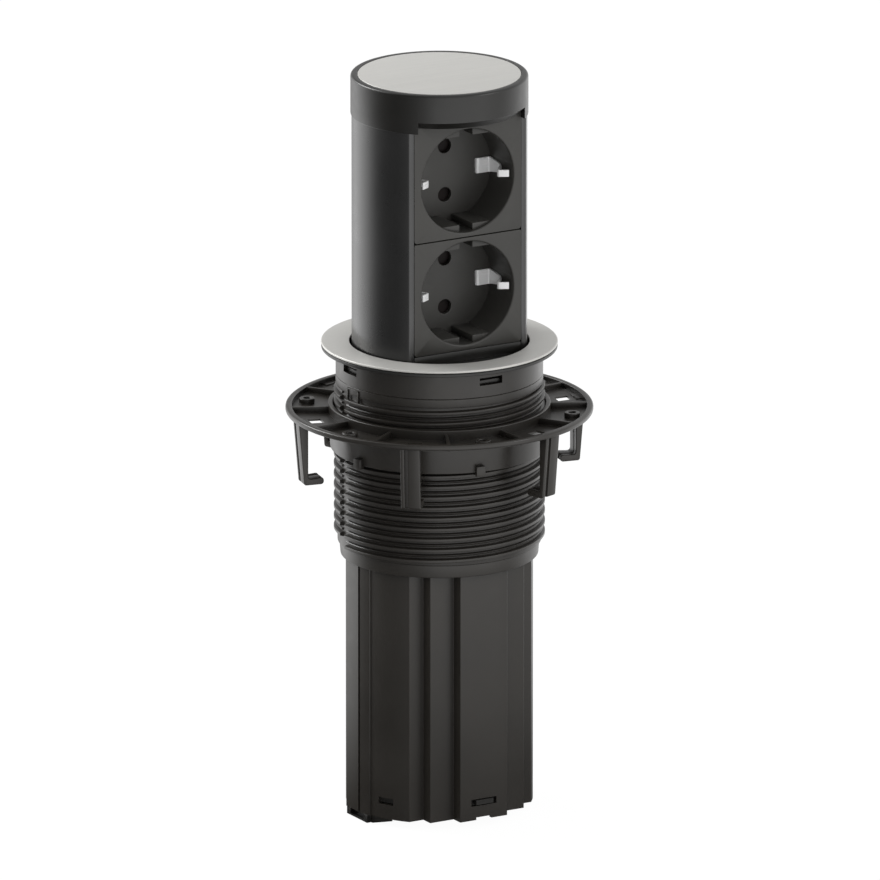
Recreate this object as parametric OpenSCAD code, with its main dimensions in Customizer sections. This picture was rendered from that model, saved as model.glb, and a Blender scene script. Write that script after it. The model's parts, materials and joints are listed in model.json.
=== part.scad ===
// Pop up desk socket
// A column with two earthed sockets rises out of a housing that hangs in a round worktop cut-out.
// Millimetres, +Z up. The origin is on the axis, in the plane where the flange rests on the worktop.
// The column is drawn raised and its sockets face -Y.

/* [Column] */
// Radius of the column's round side
column_r = 33.1; // [32:0.1:34.5]
// Distance from the axis to the flat socket face
face_y = 21.4; // [20.8:0.1:22]
// Wall of the column profile
profile_wall = 2; // [1.8:0.1:2.4]
// Width of the lip at each side of the flat face
lip_w = 2.05; // [1.6:0.05:2.4]
// Height of the lower socket plate above the flange
plinth_h = 1.4; // [1:0.1:3]
// Plain height above the upper socket
head_h = 4.3; // [2:0.1:8]
// Length of the column that stays below the worktop when it is raised
tail_h = 40; // [38:1:50]
// Height of the column's foot plate
foot_h = 6; // [6:0.5:9]

/* [Cap] */
// Height of the cap above the flat face
cap_front_h = 10.7; // [9:0.1:14]
// How much further the cap comes down over the round side
cap_skirt_h = 4.6; // [3:0.1:6]
// How far the cap stands out over the column
cap_overhang = 0.4; // [0.2:0.1:0.8]
// Wall of the cap
cap_wall = 2; // [1.6:0.1:2.4]
// Width of the black rim round the lid disc
cap_rim_w = 2.7; // [2:0.1:4]
// Thickness of the lid disc
disc_t = 1; // [0.6:0.1:1.5]
// Rounding of the cap's upper edge
cap_round = 1.2; // [0.6:0.1:1.6]

/* [Sockets] */
// Radius of a socket recess
recess_r = 20; // [19.5:0.1:20.5]
// Depth of a socket recess
recess_depth = 17.4; // [17:0.1:17.8]
// Wall round a socket recess
cup_wall = 1.5; // [1.2:0.1:1.8]
// Gap between the two recess walls
cup_gap = 0.8; // [0.6:0.1:2]
// Distance between the two pin holes
pin_pitch = 19; // [18:0.1:20]
// Radius of a pin hole
pin_hole_r = 2.75; // [2.5:0.05:3]
// Thickness of the recess floor
floor_t = 1.8; // [1.5:0.1:2.4]
// Distance from the socket's centre to the flat key at its top and bottom
key_level = 17.2; // [16.5:0.1:18]
// How far the keys lie behind the face
key_setback = 1.4; // [0.8:0.1:3]
// Width of the notch in each key
key_notch_w = 5.6; // [4:0.1:7]
// Thickness of the earth clip's strip
clip_t = 0.8; // [0.6:0.05:1]
// Width of the earth clip at its root
clip_w = 5; // [4:0.1:6]
// Width of the earth clip's sprung arm
clip_arm_w = 3.4; // [2.8:0.1:4]
// Depth of the pin contacts behind the floor
contact_l = 12.2; // [11:0.1:14]

/* [Housing] */
// Clearance between the column and its guide
guide_clear = 0.7; // [0.6:0.05:0.9]
// Wall of the lower housing
housing_wall = 1.6; // [1.4:0.1:2.2]
// Half the width of the front rib
rib_half_w = 10.3; // [9:0.1:12]
// Half the width of the second step
step_half_w = 20.5; // [19:0.1:22]
// Half the width of the side pads
pad_half_w = 7.9; // [7:0.1:9]
// How far the foot's side lugs reach past the guide
lug_reach = 0.6; // [0.5:0.05:0.8]
// Height of the band under the sleeve
band_h = 5.1; // [4:0.1:7]
// How far the band stands out over the housing
band_step = 2.4; // [2:0.1:2.8]
// Height left under the foot when the column is down
spring_room = 33.5; // [31:0.5:45]
// Thickness of the base's floor
base_t = 2.5; // [2:0.1:3.5]
// Height of the tray under the left side of the base
tray_h = 3; // [2:0.1:4]

/* [Sleeve] */
// Wall of the threaded sleeve at the thread's root
sleeve_wall = 3; // [2.6:0.1:4]
// Height of the plain collar below the worktop's surface
collar_h = 13.64; // [12:0.1:18]
// How far the collar stands out over the thread's root
collar_step = 0.65; // [0.4:0.05:1]
// Distance between two thread ridges
thread_pitch = 4.12; // [3.6:0.02:5]
// Number of thread ridges
thread_count = 15; // [12:1:18]
// Height of a thread ridge
thread_depth = 1.4; // [1:0.1:1.8]
// Width of the four clip windows
window_w = 9.8; // [8:0.1:12]
// Height of the four clip windows
window_h = 3; // [2.4:0.1:4]
// Distance from the seat down to a clip window
window_drop = 2.7; // [2:0.1:4]

/* [Flange] */
// Width of the steel ring's face
flange_w = 10.7; // [9:0.1:16]
// Thickness of the steel ring
ring_t = 0.9; // [0.8:0.1:1.5]
// Thickness of the carrier's lip that rests on the worktop
lip_t = 1.2; // [1:0.1:1.8]
// Height of the shadow gap between the ring and the lip
shadow_gap_h = 0.3; // [0.2:0.1:0.6]
// Depth of the carrier's skirt below the worktop's surface
skirt_depth = 8; // [7:0.1:9]

/* [Clamp ring] */
// Thickness of worktop that the clamp ring is drawn at
worktop_t = 22.8; // [12:0.1:50]
// Running clearance of the clamp ring over the thread
nut_clear = 0.3; // [0.2:0.05:0.5]
// Wall of the clamp ring's hub
hub_wall = 1.8; // [1.6:0.1:2.6]
// Height of the hub
hub_h = 17.2; // [14:0.1:20]
// How far the hub rises over the rim
hub_rise = 1.2; // [0.5:0.1:2]
// Distance from the hub to the rim's outer edge
rim_reach = 16.1; // [15:0.1:22]
// Width of the rim
rim_w = 2.4; // [2:0.1:4]
// Height of the rim
rim_h = 2.2; // [2:0.1:4]
// Thickness of the web between hub and rim
web_t = 1; // [0.8:0.1:1.6]
// Thickness of a spoke
spoke_t = 1.4; // [1:0.1:2]
// Number of hooks, of bosses, and of pairs of spokes
hook_count = 6; // [4:1:8]
// Width of a hook
hook_w = 7.4; // [6:0.1:9]
// Depth of a hook below the rim
hook_drop = 24; // [18:0.5:30]
// Thickness of a hook at its root
hook_root_t = 3.7; // [3:0.1:4.2]
// Thickness of a hook at its lower end
hook_end_t = 1.6; // [1.4:0.1:2.4]
// How far a hook's foot reaches inwards
hook_foot_l = 6.2; // [4:0.1:7]
// Thickness of a hook's foot
hook_foot_t = 2.3; // [1.8:0.1:3]
// Distance from the rim's edge to a hook
hook_inset = 1.1; // [0.5:0.1:2]
// Outer radius of a screw boss
boss_r = 2.95; // [2.5:0.05:3.5]
// Radius of the hole in a screw boss
boss_hole_r = 1.4; // [1:0.05:1.7]
// Distance from the rim's edge to the bosses' centres
boss_inset = 7.1; // [6:0.1:8]

/* [Lift] */
// Mean radius of the lift spring
spring_r = 14; // [13.5:0.1:14.3]
// Radius of the lift spring's wire
spring_wire_r = 0.9; // [0.7:0.05:1]
// Number of turns of the lift spring
spring_turns = 12; // [9:1:14]
// Radius of the striker that enters the latch
striker_r = 3.5; // [2.5:0.1:4]
// Radius of the lead's opening in the base
lead_r = 4.6; // [3.5:0.1:4.8]

/* [Hidden] */
$fn = 96;

// Colours
steel = "#c9c8c4";
black = "#3a3935";
dark = "#2b2b2a";
warm_grey = "#4e4e4a";
brass = "#b5954a";
nickel = "#dedede";
seal_grey = "#1d1d1d";

// Small values
cut = 1;            // overlap of a cutting shape, so that it passes right through
fit = 0.1;          // clearance between two fixed pieces
run = 0.3;          // clearance between two moving pieces
hinge_fit = 0.08;   // running clearance of a shutter on its pin
end_turn_gap = 0.5; // gap between the spring's close end turns
spring_seat_gap = 0.05; // gap between the spring's wire and its seats
slide_fit = 0.4;    // clearance of the column's lower end in the stepped case
base_fit = 0.3;     // gap between the case's lower edge and the base's floor

// Radii that follow from the column
cap_r = column_r + cap_overhang;
opening_r = cap_r + 0.5;
guide_r = column_r + guide_clear;
barrel_r = guide_r + housing_wall;
sleeve_bore_r = barrel_r + fit;
root_r = sleeve_bore_r + sleeve_wall;
collar_r = root_r + collar_step;
crest_r = root_r + thread_depth;
flange_r = opening_r + flange_w;
lip_r = flange_r - fit;
seat_in_r = collar_r + 0.25;
flange_t = ring_t + shadow_gap_h + lip_t;
nut_bore_r = crest_r + nut_clear;
hub_r = nut_bore_r + hub_wall;
rim_r = hub_r + rim_reach;
disc_r = cap_r - cap_rim_w;

// Levels of the column, raised
face_bottom = flange_t + plinth_h;
socket_pitch = 2 * (recess_r + cup_wall) + cup_gap;
lower_z = face_bottom + socket_pitch / 2;
upper_z = lower_z + socket_pitch;
divider_z = face_bottom + socket_pitch;
divider_gap = 0.5;
face_top = face_bottom + 2 * socket_pitch + head_h;
profile_top = face_top - cap_skirt_h;
lid_z = face_top + cap_front_h;
rise = lid_z - flange_t;
foot_z = -tail_h;
profile_bottom = foot_z + foot_h;

// Depths of the socket face, counted along Y
chord_half_w = sqrt(column_r * column_r - face_y * face_y);
mouth_half_w = chord_half_w - lip_w;
plate_half_w = mouth_half_w - fit;
floor_y = -face_y + recess_depth;
cup_r = recess_r + cup_wall;
hook_t = 1.4;
block_y = floor_y + floor_t;
chamber_t = 1.8;
shutter_t = 1.4;
block_front = block_y + chamber_t;
block_back = block_front + contact_l + 1.2;
strap_y = block_back + clip_t / 2;
earth_bar_y = block_back + clip_t;
bar_t = 1;
contact_r = 3.9;
contact_bore_r = 2.45;
bar_y = earth_bar_y + bar_t + 2 * fit;
apron_h = 6;
strap_x = 13.7;
clip_bulge = 4.2;    // how far the clip's arm bulges into the recess
clip_bend = 2;       // distance from the arm's tip back to the bulge
clip_tip_back = 0.5; // distance from the arm's root line to its tip
block_half_w = strap_x + 3.3;
block_half_h = pin_pitch / 2 + 9.5;

// Levels of the housing
seat_recess = 0.4;
sleeve_bottom = -collar_h - thread_count * thread_pitch;
housing_bottom = foot_z - rise - spring_room;
base_floor = housing_bottom + base_fit + base_t;
seal_h = 3;
bush_h = 14;
bush_top = -skirt_depth - seal_h;
bush_bottom = bush_top - bush_h;
lug_half_w = pad_half_w - housing_wall - slide_fit;
lug_x = guide_r + lug_reach;
pad_x = lug_x + run + housing_wall;
stop_z = profile_bottom + run;
rib_corner_r = barrel_r - 0.2;
front_y = face_y + slide_fit + housing_wall;
pad_groove_y = 1.5;
pad_groove_w = 1.5;
pad_groove_depth = 0.6;
base_window_w = 9;
base_window_h = 2.7;
base_window_z = housing_bottom + 6;

// Levels of the clamp ring
rim_top = -worktop_t;
rim_bottom = rim_top - rim_h;
hub_top = rim_top + hub_rise;
hub_bottom = hub_top - hub_h;
hook_turn = 18.7;
boss_circle_r = rim_r - boss_inset;
pawl_pitch = 68;
pawl_turn = 193.5;

// Groove down the thread
lock_turn = 173;
lock_groove_w = 4.4;

// Places of the screws that hold both ends of the column
screw_angles = [20, 65, 115, 160];
channel_r = 3.2;
channel_circle_r = column_r - profile_wall - 3.5;
screw_r = 1.25;
screw_head_r = 2.7;
screw_l = 10;

// Levels of the terminals, counted from the column's foot
terminal_low = profile_bottom + foot_h + 1;
terminal_h = 18;
terminal_top = terminal_low + terminal_h;
terminal_x = 8;
terminal_side = 6;
terminal_front = 2;
terminal_bore_y = 8;
terminal_screw_r = 1.6;
bar_low = terminal_low + 5;
earth_bar_x = [-4.6, -2];

// Bosses that centre the spring, and the latch between them
spring_boss_r = spring_r - spring_wire_r - 0.5;
spring_boss_h = 3;
striker_l = 12;
striker_flange = 2.5;
latch_clear = 0.7;
latch_wall = 2.8;

// Where the lead comes in, clear of the spring
grommet_lip = 3;
grommet_neck = 1.8;
lead_y = spring_r + spring_wire_r + 0.5 + lead_r + grommet_lip;

module span(x0, x1, y0, y1) {
    translate([x0, y0]) square([x1 - x0, y1 - y0]);
}

module bar(x0, x1, y0, y1, z0, z1) {
    translate([x0, y0, z0]) cube([x1 - x0, y1 - y0, z1 - z0]);
}

module tube(r_out, r_in, z0, z1) {
    translate([0, 0, z0]) difference() {
        cylinder(r = r_out, h = z1 - z0);
        translate([0, 0, -cut]) cylinder(r = r_in, h = z1 - z0 + 2 * cut);
    }
}

// A flat shape drawn in X and Z, thickened from y0 back to y1
module facing(y0, y1) {
    translate([0, y1, 0]) rotate([90, 0, 0]) linear_extrude(y1 - y0) children();
}

// A flat shape drawn in X and Y, thickened from z0 up to z1
module standing(z0, z1) {
    translate([0, 0, z0]) linear_extrude(z1 - z0) children();
}

// A strip of even thickness that follows a list of points
module strip(points, t) {
    for (i = [0 : len(points) - 2]) {
        d = points[i + 1] - points[i];
        translate(points[i]) rotate(atan2(d.y, d.x)) translate([0, -t / 2]) square([norm(d), t]);
    }
    for (i = [1 : len(points) - 2]) translate(points[i]) circle(r = t / 2, $fn = 24);
}

// Copies a child to the screw channels
module at_channels() {
    for (a = screw_angles) rotate(a) translate([channel_circle_r, 0]) children();
}

// Plan of the column, made smaller all round by inset
module column_plan(inset) {
    intersection() {
        circle(r = column_r - inset);
        span(-column_r, column_r, -(face_y - inset), column_r);
    }
}

// Plan of the lower housing without its side pads
module stepped_plan(inset) {
    step_y = sqrt(rib_corner_r * rib_corner_r - step_half_w * step_half_w);
    rib_y = sqrt(rib_corner_r * rib_corner_r - rib_half_w * rib_half_w);
    intersection() {
        circle(r = barrel_r - inset);
        span(-barrel_r, barrel_r, -(front_y - inset), barrel_r);
    }
    span(-(step_half_w - inset), step_half_w - inset, -(step_y - inset), 0);
    span(-(rib_half_w - inset), rib_half_w - inset, -(rib_y - inset), 0);
}

module housing_plan(inset) {
    stepped_plan(inset);
    span(-(pad_x - inset), pad_x - inset, -(pad_half_w - inset), pad_half_w - inset);
}

// Plan of what runs down inside the housing and fills its front steps
module runner_plan() {
    intersection() {
        stepped_plan(housing_wall + slide_fit);
        circle(r = column_r);
    }
}

module flange_ring() {
    edge_r = ring_t / 2;
    color(steel) rotate_extrude() {
        span(opening_r, flange_r - edge_r, flange_t - ring_t, flange_t);
        translate([flange_r - edge_r, flange_t - edge_r]) circle(r = edge_r, $fn = 48);
    }
}

module ring_carrier() {
    edge_r = lip_t / 2;
    shadow_depth = 0.7;
    color(dark) {
        rotate_extrude() {
            // Lip, raised a little over the sleeve's top so that its outer part bears on the worktop
            span(seat_in_r, lip_r - edge_r, 0, lip_t);
            span(opening_r, seat_in_r + cut, seat_recess, lip_t);
            translate([lip_r - edge_r, edge_r]) circle(r = edge_r, $fn = 48);
            span(opening_r, lip_r - shadow_depth, lip_t - fit, flange_t - ring_t);
            span(opening_r, barrel_r, -skirt_depth, seat_recess + fit);
        }
        for (a = [0 : 90 : 270]) rotate(a)
            bar(barrel_r - 0.6, collar_r - 0.8, -window_w / 2 + run, window_w / 2 - run,
                -window_drop - window_h + fit, -window_drop - run);
    }
}

module threaded_sleeve() {
    crest_w = 1.5;
    root_sink = 0.5;
    // The ridges stop at both sides of the groove where a locking tab drops in
    groove_angle = lock_groove_w / crest_r * 180 / PI;
    color(black) {
        difference() {
            rotate_extrude() {
                span(sleeve_bore_r, collar_r, -collar_h, seat_recess);
                span(sleeve_bore_r, root_r, sleeve_bottom, -collar_h);
            }
            for (a = [0 : 90 : 270]) rotate(a)
                bar(sleeve_bore_r - cut, collar_r + cut, -window_w / 2, window_w / 2,
                    -window_drop - window_h, -window_drop);
        }
        for (k = [0 : thread_count - 1])
            translate([0, 0, -collar_h - (k + 0.5) * thread_pitch])
                rotate(lock_turn + groove_angle / 2) rotate_extrude(angle = 360 - groove_angle)
                    polygon([[root_r - root_sink, -crest_w], [root_r, -crest_w], [crest_r, -crest_w / 3],
                        [crest_r, crest_w / 3], [root_r, crest_w], [root_r - root_sink, crest_w]]);
    }
}

module wiper_seal() {
    color(seal_grey) tube(barrel_r, opening_r - fit, bush_top, -skirt_depth);
}

module guide_bush() {
    cap_room = 0.5;
    color(dark) difference() {
        tube(barrel_r, column_r + run, bush_bottom, bush_top);
        // Room for the cap when the column is down
        standing(profile_top - rise - cap_room, bush_top + cut) circle(r = opening_r - fit);
    }
}

module guide_housing() {
    band_z = sleeve_bottom - band_h;
    band_taper = 0.4;
    rib_notch_w = 6.6;
    color(black) difference() {
        union() {
            standing(housing_bottom, band_z + cut) housing_plan(0);
            translate([0, 0, band_z])
                cylinder(r1 = barrel_r + band_step - band_taper, r2 = barrel_r + band_step, h = band_h);
            standing(band_z, bush_bottom) circle(r = barrel_r);
        }
        standing(housing_bottom - cut, band_z) housing_plan(housing_wall);
        // The shelf under the band lets only the column's own outline through
        standing(band_z - fit, band_z + housing_wall + fit) stepped_plan(housing_wall);
        standing(band_z + housing_wall, bush_bottom + cut) circle(r = guide_r);
        standing(band_z - fit, stop_z)
            span(-lug_x - run, lug_x + run, -lug_half_w - slide_fit, lug_half_w + slide_fit);
        at_base_windows() bar(guide_r - 2 * cut, barrel_r + cut, -base_window_w / 2, base_window_w / 2,
            base_window_z, base_window_z + base_window_h);
        for (s = [0, 1]) mirror([s, 0, 0])
            bar(pad_x - pad_groove_depth, pad_x + cut, -pad_groove_y - pad_groove_w, -pad_groove_y,
                housing_bottom - cut, band_z - pad_groove_w);
        // Notch in the front rib's lower edge
        bar(-rib_notch_w / 2, rib_notch_w / 2, -barrel_r, -front_y, housing_bottom - cut, housing_bottom + 1);
    }
}

// Places of the windows that the base snaps into
module at_base_windows() {
    for (a = [25, 155, 205, 270, 335]) rotate(a) children();
}

module base_cap() {
    plug_inset = housing_wall + 0.15;
    base_wall = 1.6;
    rim_top_z = housing_bottom + 10;
    nose_inset = 0.8;
    nose_sunk = 1;
    tray_x = pad_x - 5.8;
    tray_slot_w = 10;
    color(dark) difference() {
        union() {
            standing(housing_bottom + base_fit, base_floor) housing_plan(plug_inset);
            difference() {
                standing(base_floor - fit, rim_top_z) housing_plan(plug_inset);
                standing(base_floor - cut, rim_top_z + cut) housing_plan(plug_inset + base_wall);
            }
            at_base_windows()
                bar(guide_r - 1.2, barrel_r - nose_sunk,
                    -base_window_w / 2 + nose_inset, base_window_w / 2 - nose_inset,
                    base_window_z + fit, base_window_z + base_window_h - nose_inset);
            // Tray under the left side, which the housing's edge stands on
            standing(housing_bottom - tray_h, housing_bottom) intersection() {
                housing_plan(base_fit);
                span(-2 * barrel_r, -tray_x, -barrel_r, barrel_r);
            }
            standing(housing_bottom - fit, housing_bottom + base_fit + fit) intersection() {
                housing_plan(plug_inset);
                span(-2 * barrel_r, -tray_x, -barrel_r, barrel_r);
            }
        }
        bar(-2 * barrel_r, -pad_x + 2.2, -tray_slot_w / 2, tray_slot_w / 2,
            housing_bottom - tray_h + 0.6, housing_bottom);
        translate([0, lead_y, 0]) {
            standing(housing_bottom - cut, rim_top_z + cut) circle(r = lead_r + grommet_neck);
            // Room for the grommet's inner lip beside the wall
            standing(base_floor, rim_top_z + cut) circle(r = lead_r + grommet_lip + fit);
        }
    }
}

module cable_grommet() {
    lip_h = 1;
    lip_z = housing_bottom + base_fit - lip_h;
    color(seal_grey) translate([0, lead_y, 0]) difference() {
        union() {
            standing(lip_z, base_floor + lip_h) circle(r = lead_r + grommet_neck - 0.05);
            standing(lip_z, lip_z + lip_h) circle(r = lead_r + grommet_lip);
            standing(base_floor, base_floor + lip_h) circle(r = lead_r + grommet_lip);
        }
        standing(lip_z - cut, base_floor + lip_h + cut) circle(r = lead_r);
    }
}

module push_latch() {
    latch_gap = 8;
    latch_top = foot_z - rise - latch_gap;
    color(warm_grey) difference() {
        union() {
            standing(base_floor, base_floor + spring_boss_h) circle(r = spring_boss_r);
            standing(base_floor, latch_top) circle(r = striker_r + latch_wall + latch_clear);
        }
        standing(latch_top - striker_l, latch_top + cut) circle(r = striker_r + latch_clear);
    }
}

// Height of the spring wire's centre at turn t: a close turn at each end, and open turns between
function wire_z(t, z0, z1) =
    let (close_lead = 2 * spring_wire_r + end_turn_gap,
        open_lead = (z1 - z0 - 2 * close_lead) / (spring_turns - 2))
    z0 + close_lead * (min(t, 1) + max(t - spring_turns + 1, 0))
        + open_lead * min(max(t - 1, 0), spring_turns - 2);

module lift_spring() {
    sides = 6;
    steps = 14;
    z0 = base_floor + spring_wire_r + spring_seat_gap;
    z1 = foot_z - spring_wire_r - spring_seat_gap;
    rings = spring_turns * steps;
    points = [for (i = [0 : rings], s = [0 : sides - 1])
        let (t = i / steps, b = 360 * s / sides, r = spring_r + spring_wire_r * cos(b))
        [r * cos(360 * t), r * sin(360 * t), wire_z(t, z0, z1) + spring_wire_r * sin(b)]];
    walls = [for (i = [0 : rings - 1], s = [0 : sides - 1])
        let (a = i * sides + s, b = i * sides + (s + 1) % sides)
        [a, b, b + sides, a + sides]];
    ends = [[for (s = [sides - 1 : -1 : 0]) s], [for (s = [0 : sides - 1]) rings * sides + s]];
    color(steel) polyhedron(points = points, faces = concat(walls, ends));
}

module hook() {
    inner = rim_r - hook_inset - hook_root_t;
    z0 = rim_bottom - hook_drop;
    round = 0.6;
    difference() {
        rotate([90, 0, 0]) linear_extrude(hook_w, center = true) polygon([
            [inner, rim_bottom + 0.6], [inner + hook_root_t, rim_bottom + 0.6],
            [inner + hook_end_t, z0 + round], [inner + hook_end_t - round, z0],
            [inner - hook_foot_l + round, z0], [inner - hook_foot_l, z0 + round],
            [inner - hook_foot_l, z0 + hook_foot_t + round],
            [inner - hook_foot_l + 2, z0 + hook_foot_t], [inner, z0 + hook_foot_t]]);
        // Channel down the outer side
        rotate([90, 0, 0]) linear_extrude(1.3) polygon([
            [inner + hook_end_t - 0.6, z0 + 3], [inner + hook_root_t - 0.6, rim_bottom - 0.5],
            [inner + hook_root_t + cut, rim_bottom - 0.5], [inner + hook_end_t + cut, z0 + 3]]);
    }
}

module clamp_ring() {
    inner_rim_r = rim_r - rim_w;
    web_z = rim_bottom;
    hole_in_r = hub_r + 2.6;
    hole_out_r = inner_rim_r - 1.6;
    color(black) difference() {
        union() {
            translate([0, 0, hub_bottom]) cylinder(r1 = hub_r - 0.8, r2 = hub_r, h = hub_h);
            rotate_extrude() difference() {
                union() {
                    span(inner_rim_r, rim_r - 0.8, rim_bottom, rim_top);
                    span(inner_rim_r, rim_r, rim_bottom + 0.8, rim_top - 0.8);
                    translate([rim_r - 0.8, rim_top - 0.8]) circle(r = 0.8, $fn = 32);
                    translate([rim_r - 0.8, rim_bottom + 0.8]) circle(r = 0.8, $fn = 32);
                }
            }
            tube(inner_rim_r + fit, nut_bore_r + 0.5, web_z, web_z + web_t);
            for (k = [0 : 2 * hook_count - 1])
                rotate(270 + hook_turn + (k + 0.5) * 180 / hook_count)
                    bar(hub_r - 0.6, inner_rim_r + 0.5, -spoke_t / 2, spoke_t / 2, web_z, rim_top - 0.3);
            for (k = [0 : hook_count - 1]) rotate(270 + hook_turn + k * 360 / hook_count) {
                hook();
                rotate(180 / hook_count) translate([boss_circle_r, 0])
                    standing(web_z, rim_top - 0.2) circle(r = boss_r);
            }
            for (k = [0 : 4]) rotate(pawl_turn + k * pawl_pitch)
                bar(nut_bore_r + 0.4, hub_r + 0.6, -1.8, 1.8, hub_bottom - 0.8, hub_bottom + 2.6);
        }
        translate([0, 0, hub_bottom - 5]) cylinder(r = nut_bore_r, h = hub_h + 10);
        for (k = [0 : hook_count - 1]) rotate(270 + hook_turn + k * 360 / hook_count) {
            // Opening in the web inside each hook
            bar(hole_in_r, hole_out_r, -hook_w / 2, hook_w / 2, web_z - cut, web_z + web_t + fit);
            rotate(180 / hook_count) translate([boss_circle_r, 0])
                standing(web_z - cut, rim_top + cut) circle(r = boss_hole_r);
        }
        // Notch above each locking tab
        for (k = [0 : 4]) rotate(pawl_turn + k * pawl_pitch) {
            bar(nut_bore_r - cut, hub_r + 2, -2.6, 1.8, hub_bottom + 2.6, hub_bottom + 4.2);
            bar(nut_bore_r - cut, hub_r + 2, -2.6, -1.8, hub_bottom - 2, hub_bottom + 4.2);
        }
    }
}

module lid_disc() {
    color(steel) standing(lid_z - disc_t, lid_z) circle(r = disc_r);
}

module top_cap() {
    ceiling = lid_z - disc_t - 2;
    cavity_r = cap_r - cap_wall;
    color(dark) difference() {
        union() {
            difference() {
                rotate_extrude() {
                    span(0, cap_r - cap_round, profile_top, lid_z);
                    span(0, cap_r, profile_top, lid_z - cap_round);
                    translate([cap_r - cap_round, lid_z - cap_round]) circle(r = cap_round, $fn = 48);
                }
                standing(profile_top - cut, ceiling) circle(r = cavity_r);
            }
            // Underside of the part that stands out over the flat face
            standing(face_top, face_top + 2) intersection() {
                circle(r = cap_r - 0.5);
                span(-cap_r, cap_r, -cap_r, -face_y + 2.3);
            }
            // Spigot inside the profile
            difference() {
                tube(column_r - profile_wall - 0.2, column_r - profile_wall - 2,
                    profile_top - 4, ceiling + 1);
                bar(-cap_r, cap_r, -cap_r, -face_y + 4, profile_top - 5, face_top);
            }
            for (a = screw_angles) rotate(a) translate([channel_circle_r, 0])
                standing(profile_top, ceiling + 1) circle(r = channel_r);
        }
        standing(lid_z - disc_t, lid_z + cut) circle(r = disc_r + fit);
        // Room for the flat face below the overhang
        bar(-cap_r, cap_r, -cap_r - cut, -face_y, profile_top - cut, face_top);
        bar(-plate_half_w - fit, plate_half_w + fit, -face_y - cut, -face_y + 3.7,
            profile_top - cut, face_top + fit);
        // The spigot clears the screw channels
        for (a = screw_angles) rotate(a) translate([channel_circle_r, 0]) {
            standing(profile_top - 5, profile_top) circle(r = channel_r + 0.5);
            standing(profile_top - cut, lid_z) circle(r = screw_r + 0.2);
            standing(ceiling + 0.2, lid_z) circle(r = screw_head_r + 0.2);
        }
    }
}

module cap_screws() {
    ceiling = lid_z - disc_t - 2;
    color(steel) for (a = screw_angles) rotate(a) translate([channel_circle_r, 0]) {
        standing(profile_top - screw_l, ceiling + 1) circle(r = screw_r);
        standing(ceiling + 0.2, lid_z - disc_t - fit) circle(r = screw_head_r);
    }
}

module column_profile() {
    channel_web_w = 2.4;
    color(dark) standing(profile_bottom, profile_top) difference() {
        union() {
            difference() {
                column_plan(0);
                column_plan(profile_wall);
                span(-mouth_half_w, mouth_half_w, -face_y - cut, -face_y + profile_wall + cut);
            }
            at_channels() {
                circle(r = channel_r);
                span(0, channel_r + profile_wall, -channel_web_w / 2, channel_web_w / 2);
            }
        }
        at_channels() circle(r = screw_r + 0.05);
    }
}

// Front plate of one bay, with an edge that hooks behind the lips
module bay_plate(z0, z1) {
    facing(-face_y, -face_y + profile_wall + fit + hook_t) span(-plate_half_w, plate_half_w, z0, z1);
    facing(-face_y + profile_wall + fit, -face_y + profile_wall + fit + hook_t)
        span(-plate_half_w - 0.9, plate_half_w + 0.9, z0, z1);
}

module faceplate(zc, z0, z1) {
    color(warm_grey) {
        difference() {
            union() {
                bay_plate(z0, z1);
                facing(-face_y + 0.5, floor_y) translate([0, zc]) circle(r = cup_r);
            }
            facing(-face_y - cut, floor_y + cut) translate([0, zc]) circle(r = recess_r);
            // Slots that the earth clip's arms lie in
            for (s = [-1, 1])
                mirror([s < 0 ? 1 : 0, 0, 0]) bar(recess_r - cut, cup_r + 0.3, -face_y + 1, floor_y + cut,
                    zc - clip_w / 2 - 0.7, zc + clip_w / 2 + 0.7);
        }
        for (s = [-1, 1])
            facing(-face_y + key_setback, floor_y) translate([0, zc]) difference() {
                intersection() {
                    circle(r = recess_r + 0.3);
                    span(-recess_r, recess_r,
                        s > 0 ? key_level : -recess_r - 1, s > 0 ? recess_r + 1 : -key_level);
                }
                span(-key_notch_w / 2, key_notch_w / 2, -recess_r - 1, recess_r + 1);
            }
    }
}

module upper_faceplate() { faceplate(upper_z, divider_z + divider_gap / 2, face_top); }
module lower_faceplate() { faceplate(lower_z, face_bottom, divider_z - divider_gap / 2); }

// The slots for the earth clip's two legs
module strap_slots(zc) {
    for (s = [-1, 1]) translate([s * strap_x, zc])
        square([clip_t + 0.4, clip_w + 0.4], center = true);
}

module socket_floor(zc) {
    color(warm_grey) facing(floor_y, block_y) difference() {
        translate([0, zc]) circle(r = cup_r);
        for (s = [-1, 1]) translate([0, zc + s * pin_pitch / 2]) circle(r = pin_hole_r);
        strap_slots(zc);
    }
}

module upper_socket_floor() { socket_floor(upper_z); }
module lower_socket_floor() { socket_floor(lower_z); }

module shutter(zc) {
    color("#5a3a2e") facing(block_y + 0.2, block_y + 0.2 + shutter_t) translate([0, zc]) difference() {
        union() {
            circle(r = 4.4);
            span(-2.6, 2.6, -pin_pitch / 2, pin_pitch / 2);
            for (s = [-1, 1]) translate([0, s * pin_pitch / 2]) circle(r = pin_hole_r + 0.75);
        }
        circle(r = 2 + hinge_fit);
    }
}

module upper_shutter() { shutter(upper_z); }
module lower_shutter() { shutter(lower_z); }

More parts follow.
